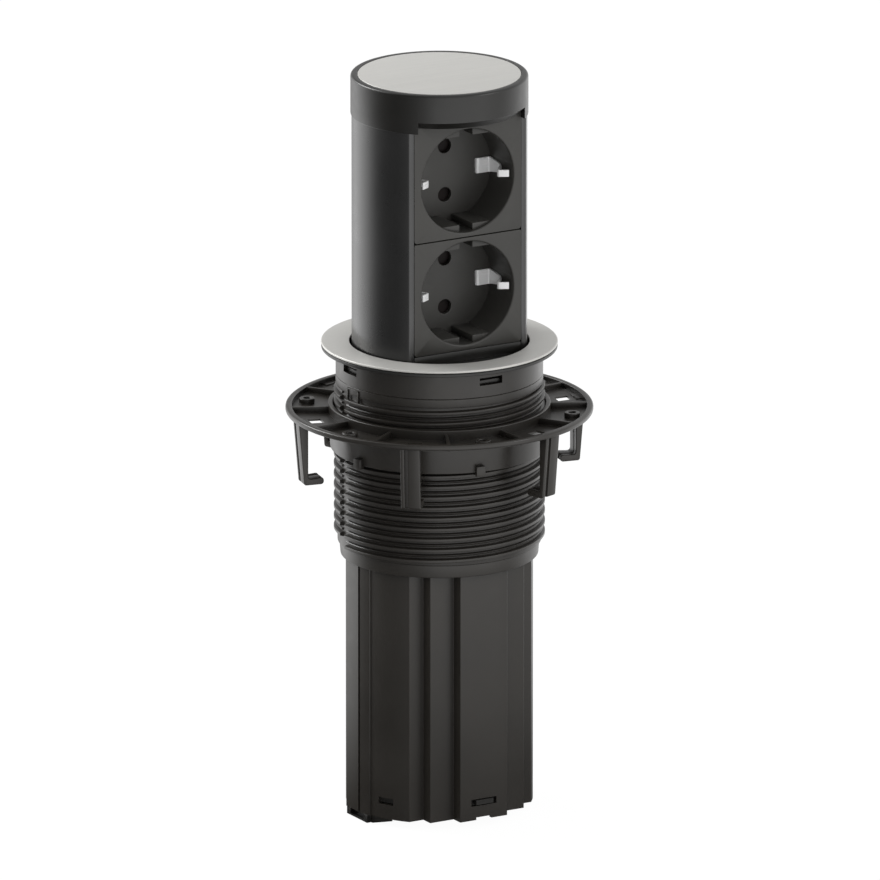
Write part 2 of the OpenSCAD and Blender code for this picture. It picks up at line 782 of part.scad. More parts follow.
module contact_block(zc) {
    bore_r = contact_r + 2 * fit;
    shutter_room_r = 14.2;
    color(dark) {
        difference() {
            facing(block_y, block_back) translate([0, zc])
                square([2 * block_half_w, 2 * block_half_h], center = true);
            facing(block_y - cut, block_front) translate([0, zc]) circle(r = shutter_room_r);
            for (s = [-1, 1]) translate([0, 0, zc + s * pin_pitch / 2]) {
                facing(block_front - cut, block_front + contact_l + 0.6) circle(r = bore_r);
                facing(block_front, block_back + cut) circle(r = 1.7);
            }
            facing(block_y - cut, block_back + cut) strap_slots(zc);
        }
        // Pin that the shutter turns on
        facing(block_y, block_front + 0.5) translate([0, zc]) circle(r = 2);
    }
}

module upper_contact_block() { contact_block(upper_z); }
module lower_contact_block() { contact_block(lower_z); }

module pin_contacts(zc) {
    front = block_front + 0.6;
    back = block_front + contact_l + 0.6;
    color(brass) for (s = [-1, 1]) translate([0, 0, zc + s * pin_pitch / 2]) {
        facing(front, back) difference() {
            circle(r = contact_r);
            circle(r = contact_bore_r);
        }
        facing(back - 1, bar_y) circle(r = 1.5);
        facing(back - 1, back) circle(r = 3);
    }
}

module upper_contacts() { pin_contacts(upper_z); }
module lower_contacts() { pin_contacts(lower_z); }

module earth_clip(zc) {
    foot_y = floor_y - clip_t / 2;
    arm_x = recess_r - 0.7;
    spread = 0.5;
    tip_y = -face_y + 1.6;
    color(nickel) translate([0, 0, zc]) {
        linear_extrude(clip_w, center = true)
            strip([[-arm_x, foot_y], [-strap_x, foot_y], [-strap_x, strap_y], [strap_x, strap_y],
                [strap_x, foot_y], [arm_x, foot_y]], clip_t);
        // Sprung arms, which bulge into the recess near its mouth
        for (s = [-1, 1]) linear_extrude(clip_arm_w, center = true)
            strip([[s * (arm_x - 1), foot_y], [s * arm_x, foot_y],
                [s * (arm_x + spread), (foot_y + tip_y) / 2],
                [s * (arm_x - clip_bulge), tip_y + clip_bend], [s * (arm_x - clip_tip_back), tip_y]], clip_t);
    }
}

module upper_earth_clip() { earth_clip(upper_z); }
module lower_earth_clip() { earth_clip(lower_z); }

module pin_busbar(side) {
    rail = [5, 11];
    tab_w = 8.6;
    tab_h = 5.2;
    tab_x = 1.7;
    color(brass) facing(bar_y, bar_y + bar_t) {
        span(side > 0 ? rail.x : -rail.y, side > 0 ? rail.y : -rail.x, bar_low,
            upper_z + (side * pin_pitch + tab_h) / 2);
        for (zc = [lower_z, upper_z])
            translate([side * tab_x, zc + side * pin_pitch / 2]) square([tab_w, tab_h], center = true);
    }
}

module live_busbar() { pin_busbar(1); }
module neutral_busbar() { pin_busbar(-1); }

module earth_busbar() {
    color(brass) facing(earth_bar_y, earth_bar_y + bar_t)
        span(earth_bar_x[0], earth_bar_x[1], bar_low, upper_z + clip_w / 2);
}

module terminal_block() {
    half_w = terminal_x + terminal_side;
    wire_bore_r = 2.3;
    color(warm_grey) difference() {
        facing(terminal_front, bar_y) span(-half_w, half_w, terminal_low, terminal_top);
        facing(earth_bar_y - fit, bar_y + cut)
            span(earth_bar_x[0] - 2 * fit, earth_bar_x[1] + 2 * fit, terminal_low - cut, terminal_top + cut);
        for (x = [-terminal_x, 0, terminal_x]) {
            facing(terminal_front - cut, terminal_bore_y + 2)
                translate([x, terminal_top - foot_h]) circle(r = terminal_screw_r + fit);
            translate([x, terminal_bore_y, 0])
                standing(terminal_low - cut, terminal_top - 4) circle(r = wire_bore_r);
        }
    }
}

module terminal_screws() {
    color(steel) for (x = [-terminal_x, 0, terminal_x]) translate([x, 0, terminal_top - foot_h]) {
        facing(terminal_front - 0.5, terminal_front + 4) circle(r = terminal_screw_r);
        facing(terminal_front - 1.4, terminal_front) circle(r = terminal_screw_r + 1);
    }
}

module front_apron() {
    top = face_bottom - 2 * fit;
    tongue = 9;
    color(dark) standing(top - apron_h, top) {
        intersection() {
            runner_plan();
            span(-column_r, column_r, -column_r, -face_y);
        }
        span(-plate_half_w, plate_half_w, -face_y, -face_y + tongue);
    }
}

module terminal_cover() {
    color(warm_grey) bay_plate(profile_bottom, face_bottom - apron_h - 4 * fit);
}

// Where the slide pads sit in the foot
module pad_zone(r_out, r_in, z0, z1, gap) {
    difference() {
        tube(r_out, r_in, z0, z1);
        bar(-2 * column_r, 2 * column_r, -2 * column_r, -face_y + 3 + gap, z0 - cut, z1 + cut);
        bar(-2 * column_r, 2 * column_r, -lug_half_w - 0.6 - gap, lug_half_w + 0.6 + gap, z0 - cut, z1 + cut);
    }
}

module column_foot() {
    inner_r = column_r - profile_wall - 2 * fit;
    post_r = 2.2;
    post_x = terminal_x + 3;
    color(dark) difference() {
        union() {
            standing(foot_z, profile_bottom) {
                runner_plan();
                span(-lug_x, lug_x, -lug_half_w, lug_half_w);
            }
            difference() {
                tube(inner_r, inner_r - 2, profile_bottom - cut, profile_bottom + 4);
                bar(-column_r, column_r, -column_r, -face_y + 4, profile_bottom - 2, profile_bottom + 5);
                at_channels() standing(profile_bottom, profile_bottom + 5) circle(r = channel_r + 0.5);
            }
            // Posts under the terminal block
            for (x = [-post_x, post_x]) translate([x, terminal_bore_y, 0])
                standing(profile_bottom - cut, terminal_low) circle(r = post_r);
            standing(foot_z - spring_boss_h, foot_z + cut) circle(r = spring_boss_r);
        }
        standing(foot_z - spring_boss_h - cut, foot_z) circle(r = striker_r + striker_flange + 2 * fit);
        translate([0, lead_y, 0]) standing(foot_z - cut, profile_bottom + cut) circle(r = lead_r + 0.5);
        at_channels() {
            standing(foot_z - cut, profile_bottom + cut) circle(r = screw_r + 0.2);
            standing(foot_z - cut, foot_z + 2.2) circle(r = screw_head_r + 0.2);
        }
        pad_zone(column_r + cut, column_r - 1.5, foot_z + 1, profile_bottom - 1, 0);
    }
}

module foot_slide_pads() {
    color(nickel) pad_zone(guide_r - run, column_r - 1.5, foot_z + 1, profile_bottom - 1, fit);
}

module foot_screws() {
    color(steel) at_channels() {
        standing(foot_z + 1, profile_bottom + screw_l) circle(r = screw_r);
        standing(foot_z + 0.3, foot_z + 2.2) circle(r = screw_head_r);
    }
}

module latch_striker() {
    color(steel) {
        standing(foot_z - 2, foot_z) circle(r = striker_r + striker_flange);
        standing(foot_z - striker_l, foot_z) circle(r = striker_r);
    }
}

flange_ring();
ring_carrier();
threaded_sleeve();
wiper_seal();
guide_bush();
guide_housing();
base_cap();
cable_grommet();
push_latch();
lift_spring();
clamp_ring();
lid_disc();
top_cap();
cap_screws();
column_profile();
upper_faceplate();
lower_faceplate();
upper_socket_floor();
lower_socket_floor();
upper_shutter();
lower_shutter();
upper_contact_block();
lower_contact_block();
upper_contacts();
lower_contacts();
upper_earth_clip();
lower_earth_clip();
live_busbar();
neutral_busbar();
earth_busbar();
terminal_block();
terminal_screws();
front_apron();
terminal_cover();
column_foot();
foot_slide_pads();
foot_screws();
latch_striker();
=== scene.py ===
"""Pop up desk socket: moulded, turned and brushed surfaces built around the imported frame."""
import json
import math

import bmesh
import bpy
from bpy.props import FloatProperty, FloatVectorProperty, PointerProperty
from mathutils import Matrix, Vector


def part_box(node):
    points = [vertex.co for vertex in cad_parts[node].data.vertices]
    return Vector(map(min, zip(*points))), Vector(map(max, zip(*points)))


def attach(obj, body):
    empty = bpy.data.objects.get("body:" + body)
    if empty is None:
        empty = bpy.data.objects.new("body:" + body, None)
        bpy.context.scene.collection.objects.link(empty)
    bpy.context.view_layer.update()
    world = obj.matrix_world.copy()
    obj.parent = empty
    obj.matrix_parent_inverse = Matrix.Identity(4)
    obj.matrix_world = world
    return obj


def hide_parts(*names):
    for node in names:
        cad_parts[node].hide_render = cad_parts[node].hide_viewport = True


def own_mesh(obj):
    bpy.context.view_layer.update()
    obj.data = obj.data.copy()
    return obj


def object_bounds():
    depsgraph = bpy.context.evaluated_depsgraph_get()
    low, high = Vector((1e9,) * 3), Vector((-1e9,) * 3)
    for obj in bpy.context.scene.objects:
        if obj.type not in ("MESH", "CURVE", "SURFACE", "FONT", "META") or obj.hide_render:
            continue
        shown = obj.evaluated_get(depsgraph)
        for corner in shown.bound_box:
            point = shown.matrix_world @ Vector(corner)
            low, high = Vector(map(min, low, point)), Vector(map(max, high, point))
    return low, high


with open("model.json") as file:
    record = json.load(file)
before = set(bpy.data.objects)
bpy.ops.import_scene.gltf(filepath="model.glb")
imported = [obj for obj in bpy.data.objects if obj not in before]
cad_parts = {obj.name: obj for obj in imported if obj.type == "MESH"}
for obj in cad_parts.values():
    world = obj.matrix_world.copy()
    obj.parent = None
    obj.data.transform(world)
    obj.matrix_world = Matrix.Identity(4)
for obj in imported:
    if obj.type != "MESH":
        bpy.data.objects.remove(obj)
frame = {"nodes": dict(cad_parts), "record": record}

CAD_BOUNDS = [list(corner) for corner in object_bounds()]

bl_info = {
    "name": "Pop Up Desk Socket",
    "version": (1, 0, 0),
    "blender": (4, 5, 0),
    "location": "View3D > Sidebar > Desk Socket",
    "description": "Builds the visible shells and finishes of a pop up desk socket around its frame",
    "category": "Object",
}

MM = 0.001
ORIGIN = Vector((0, 0, 0))
UP = Vector((0, 0, 1))

# Sizes that the frame gives
COLUMN_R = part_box("column_profile")[1].x
FACE_Y = -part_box("upper_faceplate")[0].y
PROFILE_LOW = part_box("column_profile")[0].z
PROFILE_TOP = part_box("column_profile")[1].z
FACE_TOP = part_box("upper_faceplate")[1].z
LID_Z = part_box("top_cap")[1].z
CAP_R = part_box("top_cap")[1].x
DISC_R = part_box("lid_disc")[1].x
DISC_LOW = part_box("lid_disc")[0].z
FLOOR_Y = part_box("upper_socket_floor")[0].y
CUP_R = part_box("upper_socket_floor")[1].x
RING_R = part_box("flange_ring")[1].x
RING_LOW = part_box("flange_ring")[0].z
RING_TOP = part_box("flange_ring")[1].z
LIP_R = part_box("ring_carrier")[1].x
SKIRT_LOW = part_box("ring_carrier")[0].z
CREST_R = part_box("threaded_sleeve")[1].x
SLEEVE_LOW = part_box("threaded_sleeve")[0].z
SLEEVE_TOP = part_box("threaded_sleeve")[1].z
CASE_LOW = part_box("guide_housing")[0].z
CASE_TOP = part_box("guide_housing")[1].z
BAND_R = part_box("guide_housing")[1].x
RIM_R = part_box("clamp_ring")[1].x
HUB_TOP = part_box("clamp_ring")[1].z
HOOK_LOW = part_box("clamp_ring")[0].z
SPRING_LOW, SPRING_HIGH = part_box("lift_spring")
GUIDE_GAP = 0.7 * MM

# Finish of each of the frame's material slots
FINISH = {
    "satin_steel": "brushed_steel", "plain_steel": "drawn_steel", "contact_brass": "brass_sheet",
    "nickel_plate": "nickel_sheet", "black_plastic": "moulded_black", "dark_plastic": "moulded_dark",
    "cap_plastic": "moulded_cap", "face_plastic": "moulded_face", "shutter_plastic": "moulded_shutter",
    "slide_plastic": "moulded_slide", "black_aluminium": "coated_profile", "seal_rubber": "moulded_rubber",
}


def length(name, description, millimetres):
    """A size in the sidebar, kept in metres"""
    return FloatProperty(name=name, description=description, default=millimetres * MM, min=0,
                         unit="LENGTH", subtype="DISTANCE", precision=5)


def colour(name, description, red, green, blue):
    """A finish's colour in the sidebar, as the eye sees it, from 0 to 255"""
    return FloatVectorProperty(name=name, description=description, size=3, min=0, max=1,
                               subtype="COLOR_GAMMA", default=(red / 255, green / 255, blue / 255))


class ColumnSizes(bpy.types.PropertyGroup):
    """Sizes of the column that rises"""
    wall: length("Profile wall", "Thickness of the column profile", 2)
    lip: length("Lip width", "Width of the lip at each side of the flat face", 2.05)
    lip_round: length("Lip rounding", "Rounding of the profile's two front corners", 0.9)
    cap_round: length("Cap rounding", "Rounding of the cap's upper edge", 1)
    cap_wall: length("Cap wall", "Thickness of the cap's skirt", 1.9)
    chamfer: length("Cap chamfer", "Height of the slanting edge under the front of the cap", 2.8)
    edge: length("Edge rounding", "Rounding of the small moulded edges", 0.35)
    plate_gap: length("Plate gap", "Gap beside a face plate", 0.06)
    top_gap: length("Top gap", "Gap between the upper face plate and the cap", 0.3)
    mouth_round: length("Mouth rounding", "Rounding of a recess's mouth", 0.8)
    cup_wall: length("Recess wall", "Thickness of the wall round a recess", 1.5)
    key_level: length("Key level", "Distance from the socket's centre to its flat keys", 17.2)
    key_setback: length("Key setback", "How far the keys lie behind the face", 1.4)
    key_notch: length("Key notch", "Width of the notch in each key", 5.6)
    clip: length("Clip thickness", "Thickness of the earth clip's strip", 0.8)
    clip_root: length("Clip root", "Width of the earth clip at its root", 6)
    clip_tip: length("Clip tip", "Width of the earth clip at its tip", 2.7)
    clip_bulge: length("Clip bulge", "How far the earth clip bulges inwards from its arm", 4.2)
    strap_x: length("Clip leg place", "Distance from the centre to the clip's legs", 13.7)


class FlangeSizes(bpy.types.PropertyGroup):
    """Sizes of the ring, its carrier and the threaded sleeve"""
    opening_gap: length("Opening gap", "Gap between the cap and the ring's opening", 0.5)
    ring_round: length("Ring rounding", "Rounding of the ring's upper outer edge", 0.5)
    shadow_gap: length("Shadow gap", "Height of the gap between the ring and the lip", 0.3)
    shadow_depth: length("Shadow depth", "Depth of the gap between the ring and the lip", 0.7)
    sleeve_wall: length("Sleeve wall", "Thickness of the sleeve at the thread's root", 3)
    collar: length("Collar height", "Height of the plain collar below the worktop's surface", 13.64)
    collar_step: length("Collar step", "How far the collar stands out over the thread's root", 0.65)
    pitch: length("Thread pitch", "Distance between two ridges", 4.12)
    depth: length("Thread depth", "Height of a ridge", 1.4)
    crest: length("Crest width", "Half the width of a ridge at its root", 1)
    window: length("Window height", "Height of the four clip windows", 3)
    window_drop: length("Window drop", "Distance from the seat down to a window", 2.7)
    window_width: length("Window width", "Width of the four clip windows", 9.8)
    lock_groove: length("Lock groove", "Width of the groove down the thread", 4.4)


class ClampSizes(bpy.types.PropertyGroup):
    """Sizes of the clamp ring"""
    hub_wall: length("Hub wall", "Thickness of the hub", 1.8)
    clearance: length("Clearance", "Clearance of the hub over the thread", 0.3)
    hub_height: length("Hub height", "Height of the hub", 17.2)
    hub_rise: length("Hub rise", "How far the hub rises over the rim", 1.2)
    rim: length("Rim width", "Width of the rim", 2.4)
    rim_height: length("Rim height", "Height of the rim", 2.2)
    web: length("Web", "Thickness of the web", 0.7)
    web_dip: length("Web dip", "How far the web dips towards the hub", 0.4)
    spoke: length("Spoke", "Thickness of a spoke", 1.2)
    hook: length("Hook width", "Width of a hook", 7.4)
    hook_root: length("Hook root", "Thickness of a hook at its root", 3.7)
    hook_end: length("Hook end", "Thickness of a hook at its lower end", 1.6)
    hook_reach: length("Hook reach", "How far a hook's foot reaches inwards", 6.2)
    hook_foot: length("Hook foot", "Thickness of a hook's foot", 2.3)
    hook_inset: length("Hook inset", "Distance from the rim's edge to a hook", 1.1)
    boss: length("Boss radius", "Outer radius of a screw boss", 2.95)
    boss_hole: length("Boss hole", "Radius of the hole in a screw boss", 1.4)
    boss_inset: length("Boss inset", "Distance from the rim's edge to a boss's centre", 7.1)


class CaseSizes(bpy.types.PropertyGroup):
    """Sizes of the long lower case"""
    wall: length("Case wall", "Thickness of the case", 1.6)
    rib: length("Rib half width", "Half the width of the front rib", 10.3)
    step: length("Step half width", "Half the width of the second step", 20.5)
    pad: length("Pad half width", "Half the width of the side pads", 7.9)
    pad_reach: length("Pad reach", "Distance from the axis to a side pad's face", 36.3)
    pad_slant: length("Pad slant", "How far the front of a side pad falls back", 1.1)
    front: length("Front distance", "Distance from the axis to the case's front", 23.4)
    band: length("Band height", "Height of the band under the sleeve", 5.1)
    groove: length("Pad groove", "Width of the groove in a side pad, and its distance from the middle", 1.5)
    groove_depth: length("Groove depth", "Depth of the groove in a side pad", 0.6)
    window_width: length("Window width", "Width of the side windows that the base snaps into", 6.8)
    front_window: length("Front window", "Width of the window in the front rib", 11)
    window_height: length("Window height", "Height of those windows", 2.7)
    window_rise: length("Window rise", "Height of those windows over the case's lower edge", 5.5)
    notch: length("Notch", "Width of the notch in the front rib's lower edge", 6.6)
    slide_gap: length("Slide gap", "Gap between the case and what runs down inside it", 0.4)
    edge: length("Edge rounding", "Rounding of the case's edges", 0.4)


class Finishes(bpy.types.PropertyGroup):
    """Colours of the finishes"""
    steel: colour("Steel", "Brushed steel of the ring and the lid", 205, 204, 200)
    wire_steel: colour("Wire steel", "Plain steel of springs and screws", 176, 175, 172)
    black: colour("Black plastic", "Moulded plastic of the case, the thread and the clamp ring", 43, 40, 36)
    dark: colour("Dark plastic", "Moulded plastic of the carrier and the inner parts", 30, 29, 27)
    cap: colour("Cap plastic", "Moulded plastic of the cap", 22, 21, 18)
    face: colour("Face plastic", "Moulded plastic of the socket fronts", 53, 52, 49)
    profile: colour("Black profile", "Black finish of the column profile", 74, 74, 74)
    rubber: colour("Seal rubber", "Rubber of the seal and the lead inlet", 28, 28, 28)
    shutter: colour("Shutter", "Plastic of the shutters behind the pin holes", 16, 8, 6)
    slide: colour("Slide plastic", "Slippery plastic of the slide pads", 215, 213, 205)
    brass: colour("Brass", "Brass of the contacts and bars", 190, 160, 92)
    nickel: colour("Nickel", "Nickel plate of the earth clips", 242, 242, 242)
    floor: colour("Floor", "Floor under the object", 236, 236, 236)


class Studio(bpy.types.PropertyGroup):
    """Camera and light"""
    azimuth: FloatProperty(name="Azimuth", description="Camera's turn round the object", subtype="ANGLE",
                           default=math.radians(-30))
    elevation: FloatProperty(name="Elevation", description="Camera's angle over the horizon", subtype="ANGLE",
                             default=math.radians(15.89))
    distance: length("Distance", "From the camera to the object's middle", 10000)
    aim_height: length("Aim height", "Depth of the camera's aim under the worktop's surface", 37)
    aim_side: length("Aim to the right", "How far the camera aims to the right of the axis", 0.23)
    lens: FloatProperty(name="Lens", description="Focal length of the camera", default=1084, min=1,
                        unit="CAMERA")
    fill: FloatProperty(name="Fill", description="Strength of the light from all round", default=0.68, min=0)
    key: FloatProperty(name="Key", description="Power of the lamp at the front right", default=3,
                       min=0, unit="POWER")
    side: FloatProperty(name="Side", description="Power of the lamp at the back left", default=10,
                        min=0, unit="POWER")


# Shapes


def arc(radius, start, end, count):
    """Corners without rounding along a circle, from one angle to another in degrees"""
    angles = [math.radians(start + (end - start) * i / count) for i in range(count + 1)]
    return [(radius * math.cos(a), radius * math.sin(a), 0) for a in angles]


def rounded(corners, segments=4):
    """Points of an outline whose corners are given as x, y and radius"""
    points = []
    for i, (x, y, radius) in enumerate(corners):
        corner = Vector((x, y))
        if radius == 0:
            points.append(corner)
            continue
        before = (Vector(corners[i - 1][:2]) - corner).normalized()
        after = (Vector(corners[(i + 1) % len(corners)][:2]) - corner).normalized()
        half = before.angle(after) / 2
        centre = corner + (before + after).normalized() * (radius / math.sin(half))
        start = corner + before * (radius / math.tan(half)) - centre
        end = corner + after * (radius / math.tan(half)) - centre
        sweep = math.atan2(start.x * end.y - start.y * end.x, start.dot(end))
        points += [centre + Matrix.Rotation(sweep * s / segments, 2) @ start for s in range(segments + 1)]
    return points


def turned(bm, outline, closed=True, steps=180):
    """A ring, or a full body of turning, from an outline of radius and height"""
    verts = [bm.verts.new((r, 0, z)) for r, z in outline]
    edges = [bm.edges.new(pair) for pair in zip(verts, verts[1:])]
    if closed:
        edges.append(bm.edges.new((verts[-1], verts[0])))
    bmesh.ops.spin(bm, geom=verts + edges, cent=ORIGIN, axis=UP, dvec=ORIGIN, angle=math.tau, steps=steps,
                   use_merge=True, use_duplicate=False)
    bmesh.ops.remove_doubles(bm, verts=bm.verts, dist=0.001 * MM)


def closed_loop(bm, points):
    """Vertices at the points, and the edges that join them into a closed loop"""
    verts = [bm.verts.new(point) for point in points]
    return verts, [bm.edges.new((verts[i - 1], verts[i])) for i in range(len(verts))]


def moved(bm, made, vec):
    """Moves the new vertices of an extrusion, and gives them back"""
    verts = [item for item in made["geom"] if isinstance(item, bmesh.types.BMVert)]
    bmesh.ops.translate(bm, verts=verts, vec=vec)
    return verts


def block(bm, outline, low, high, edge=0, segments=2):
    """An outline in X and Y raised from low to high, with its sharp edges rounded"""
    base = bm.faces.new([bm.verts.new((x, y, low)) for x, y in outline])
    top = moved(bm, bmesh.ops.extrude_face_region(bm, geom=[base]), (0, 0, high - low))
    shell = list(base.verts) + top
    faces = list({face for vert in shell for face in vert.link_faces})
    bmesh.ops.recalc_face_normals(bm, faces=faces)
    if edge:
        shell = soften(bm, shell, edge, segments)
    return shell


def soften(bm, verts, width, segments):
    """Rounds the sharp edges of a shell, and gives back its vertices"""
    sharpest_kept = math.radians(35)
    edges = {edge for vert in verts for edge in vert.link_edges}
    sharp = [e for e in edges if e.is_manifold and e.calc_face_angle() > sharpest_kept]
    island = connected(verts[0])
    bmesh.ops.bevel(bm, geom=sharp, offset=width, offset_type="OFFSET", segments=segments, profile=0.5,
                    affect="EDGES", clamp_overlap=True, material=-1)
    return connected(next(v for v in island if v.is_valid)) if any(v.is_valid for v in island) else []


def connected(vert):
    """Every vertex of the shell that one vertex belongs to"""
    found = {vert}
    front = [vert]
    while front:
        near = [edge.other_vert(v) for v in front for edge in v.link_edges]
        front = [v for v in set(near) if v not in found]
        found.update(front)
    return list(found)


def facing(bm, outline, front, back, edge, segments=2):
    """An outline in X and Z thickened along Y from front to back"""
    shell = bmesh.new()
    block(shell, outline, -back, -front, edge, segments)
    bmesh.ops.rotate(shell, verts=shell.verts, cent=ORIGIN, matrix=Matrix.Rotation(math.pi / 2, 3, "X"))
    join(bm, shell)


def join(bm, shell):
    """Moves the mesh of one shell into a piece's mesh"""
    part = bpy.data.meshes.new("shell")
    shell.to_mesh(part)
    bm.from_mesh(part)
    bpy.data.meshes.remove(part)
    shell.free()


def turn_round(bm, angle):
    """Turns a shell round the column's axis by an angle in degrees"""
    turn = Matrix.Rotation(math.radians(angle), 3, "Z")
    bmesh.ops.rotate(bm, verts=bm.verts, cent=ORIGIN, matrix=turn)


def turned_copies(bm, shell, angles):
    """Joins copies of a shell, each turned round the axis by an angle in degrees"""
    for angle in angles:
        copy = shell.copy()
        turn_round(copy, angle)
        join(bm, copy)
    shell.free()


def slab(y_low, y_high, x_low, x_high, z_low, z_high, edge):
    """A shell with rounded edges between pairs of Y, X and Z levels"""
    shell = bmesh.new()
    outline = [(x_low, y_low), (x_high, y_low), (x_high, y_high), (x_low, y_high)]
    block(shell, outline, z_low, z_high, edge)
    return shell


def split(bm, faces, place, normal):
    """Cuts faces along a plane and leaves both sides"""
    geom = list({item for f in faces for item in [f, *f.edges, *f.verts]})
    return bmesh.ops.bisect_plane(bm, geom=geom, dist=0.0001 * MM, plane_co=place, plane_no=normal)


def directions(angle):
    """Outward and sideways at an angle round the axis, in degrees"""
    out = Vector((math.cos(math.radians(angle)), math.sin(math.radians(angle)), 0))
    return out, UP.cross(out)


def taken_out(bm, gone):
    """Deletes faces, and gives back the edges of the opening that they leave"""
    rims = {e for f in gone for e in f.edges if sum(g in gone for g in e.link_faces) == 1}
    bmesh.ops.delete(bm, geom=gone, context="FACES")
    return [e for e in rims if e.is_valid]


def open_window(bm, angle, width, low, high, inner):
    """Cuts an opening through the walls at an angle, and gives back its edges"""
    out, side = directions(angle)

    def near():
        return [f for f in bm.faces if f.calc_center_median().dot(out) > inner
                and any(abs(v.co.dot(side)) < width for v in f.verts)
                and min(v.co.z for v in f.verts) < high and max(v.co.z for v in f.verts) > low]

    for sign in (-1, 1):
        split(bm, near(), side * sign * width / 2, side)
    for level in (low, high):
        split(bm, near(), UP * level, UP)

    def inside(face):
        centre = face.calc_center_median()
        return centre.dot(out) > inner and abs(centre.dot(side)) < width / 2 and low < centre.z < high

    return taken_out(bm, [f for f in bm.faces if inside(f)])


def piece(name, bm, body, slot, *replaced):
    """Makes a piece of a mesh, gives it its slot's finish and lets it ride on a body"""
    smooth_up_to = math.radians(35)
    bmesh.ops.remove_doubles(bm, verts=bm.verts, dist=0.0005 * MM)
    bmesh.ops.recalc_face_normals(bm, faces=bm.faces)
    mesh = bpy.data.meshes.new(name)
    bm.to_mesh(mesh)
    bm.free()
    for polygon in mesh.polygons:
        polygon.use_smooth = True
    mesh.set_sharp_from_angle(angle=smooth_up_to)
    thing = bpy.data.objects.new(name, mesh)
    bpy.context.scene.collection.objects.link(thing)
    mesh.materials.append(bpy.data.materials[FINISH[slot]])
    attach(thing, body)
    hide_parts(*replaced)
    return thing


def bevelled(thing, width):
    """Lets a Bevel modifier round the edges that are sharper than 40 degrees"""
    rounding = thing.modifiers.new("rounded_edges", "BEVEL")
    rounding.width = width
    rounding.segments = 2
    rounding.limit_method = "ANGLE"
    rounding.angle_limit = math.radians(40)
    rounding.harden_normals = True
    return thing


def clean_copy(node):
    """A copy of a frame part's mesh with its triangles joined into whole faces"""
    bm = bmesh.new()
    bm.from_mesh(frame["nodes"][node].data)
    bmesh.ops.remove_doubles(bm, verts=bm.verts, dist=0.002 * MM)
    bmesh.ops.dissolve_limit(bm, angle_limit=math.radians(1), verts=bm.verts, edges=bm.edges)
    return bm


def refined(name, node, body, slot, width):
    """A copy of a frame part with rounded edges"""
    bm = clean_copy(node)
    return bevelled(piece(name, bm, body, slot, node), width)


# Finishes


def srgb(value):
    """Linear value of a colour that is stored as the eye sees it"""
    return [c / 12.92 if c < 0.04045 else ((c + 0.055) / 1.055) ** 2.4 for c in value] + [1]


def shade(base, factor, lift=0.0):
    """A linear colour made lighter or darker"""
    return [min(c * factor + lift, 1) for c in base[:3]] + [1]


class Nodes:
    """Adds and links the nodes of one tree"""

    def __init__(self, tree):
        self.tree = tree

    def add(self, kind, **values):
        node = self.tree.nodes.new("ShaderNode" + kind)
        for key, value in values.items():
            if hasattr(node, key):
                setattr(node, key, value)
            else:
                self.put(node, key.replace("_", " ").title(), value)
        return node

    def put(self, node, socket, value):
        target = node.inputs[socket]
        if isinstance(value, bpy.types.NodeSocket):
            self.tree.links.new(value, target)
        else:
            target.default_value = value

    def math(self, operation, first, second):
        node = self.add("Math", operation=operation)
        self.put(node, 0, first)
        self.put(node, 1, second)
        return node.outputs[0]

    def level(self, value, low, high, to_low, to_high):
        node = self.add("MapRange", clamp=True)
        for socket, item in zip(("Value", "From Min", "From Max", "To Min", "To Max"),
                                (value, low, high, to_low, to_high)):
            self.put(node, socket, item)
        return node.outputs[0]

    def noise(self, vector, scale, detail=2.0):
        node = self.add("TexNoise", noise_dimensions="3D")
        for socket, item in (("Vector", vector), ("Scale", scale), ("Detail", detail)):
            self.put(node, socket, item)
        return node.outputs[0]


def group(name, inputs, outputs):
    """A shader node group with named sockets"""
    tree = bpy.data.node_groups.new(name, "ShaderNodeTree")
    for label, default in inputs:
        kind = "NodeSocketVector" if default is None else "NodeSocketFloat"
        socket = tree.interface.new_socket(name=label, in_out="INPUT", socket_type=kind)
        if default is not None:
            socket.default_value = default
    for label, kind in outputs:
        tree.interface.new_socket(name=label, in_out="OUTPUT", socket_type=kind)
    return tree, tree.nodes.new("NodeGroupInput"), tree.nodes.new("NodeGroupOutput")


def grain_group():
    """Spark-eroded mould grain: fine height, and soft cloudy changes of tone"""
    tree, source, result = group(
        "mould_grain", [("Vector", None), ("Grain Size", 0.5 * MM), ("Cloud Size", 30 * MM)],
        [("Height", "NodeSocketFloat"), ("Tone", "NodeSocketFloat"), ("Rub", "NodeSocketFloat")])
    nodes = Nodes(tree)
    place = source.outputs["Vector"]
    grain, cloud = source.outputs["Grain Size"], source.outputs["Cloud Size"]
    fine = nodes.noise(place, nodes.math("DIVIDE", 1.0, grain), 3.0)
    cloudy = nodes.noise(place, nodes.math("DIVIDE", 1.0, cloud), 4.0)
    rubbed = nodes.noise(place, nodes.math("DIVIDE", 5.0, cloud), 6.0)
    nodes.put(result, "Height", fine)
    nodes.put(result, "Tone", nodes.level(cloudy, 0.35, 0.65, 0.0, 1.0))
    nodes.put(result, "Rub", nodes.level(rubbed, 0.5, 0.72, 0.0, 1.0))


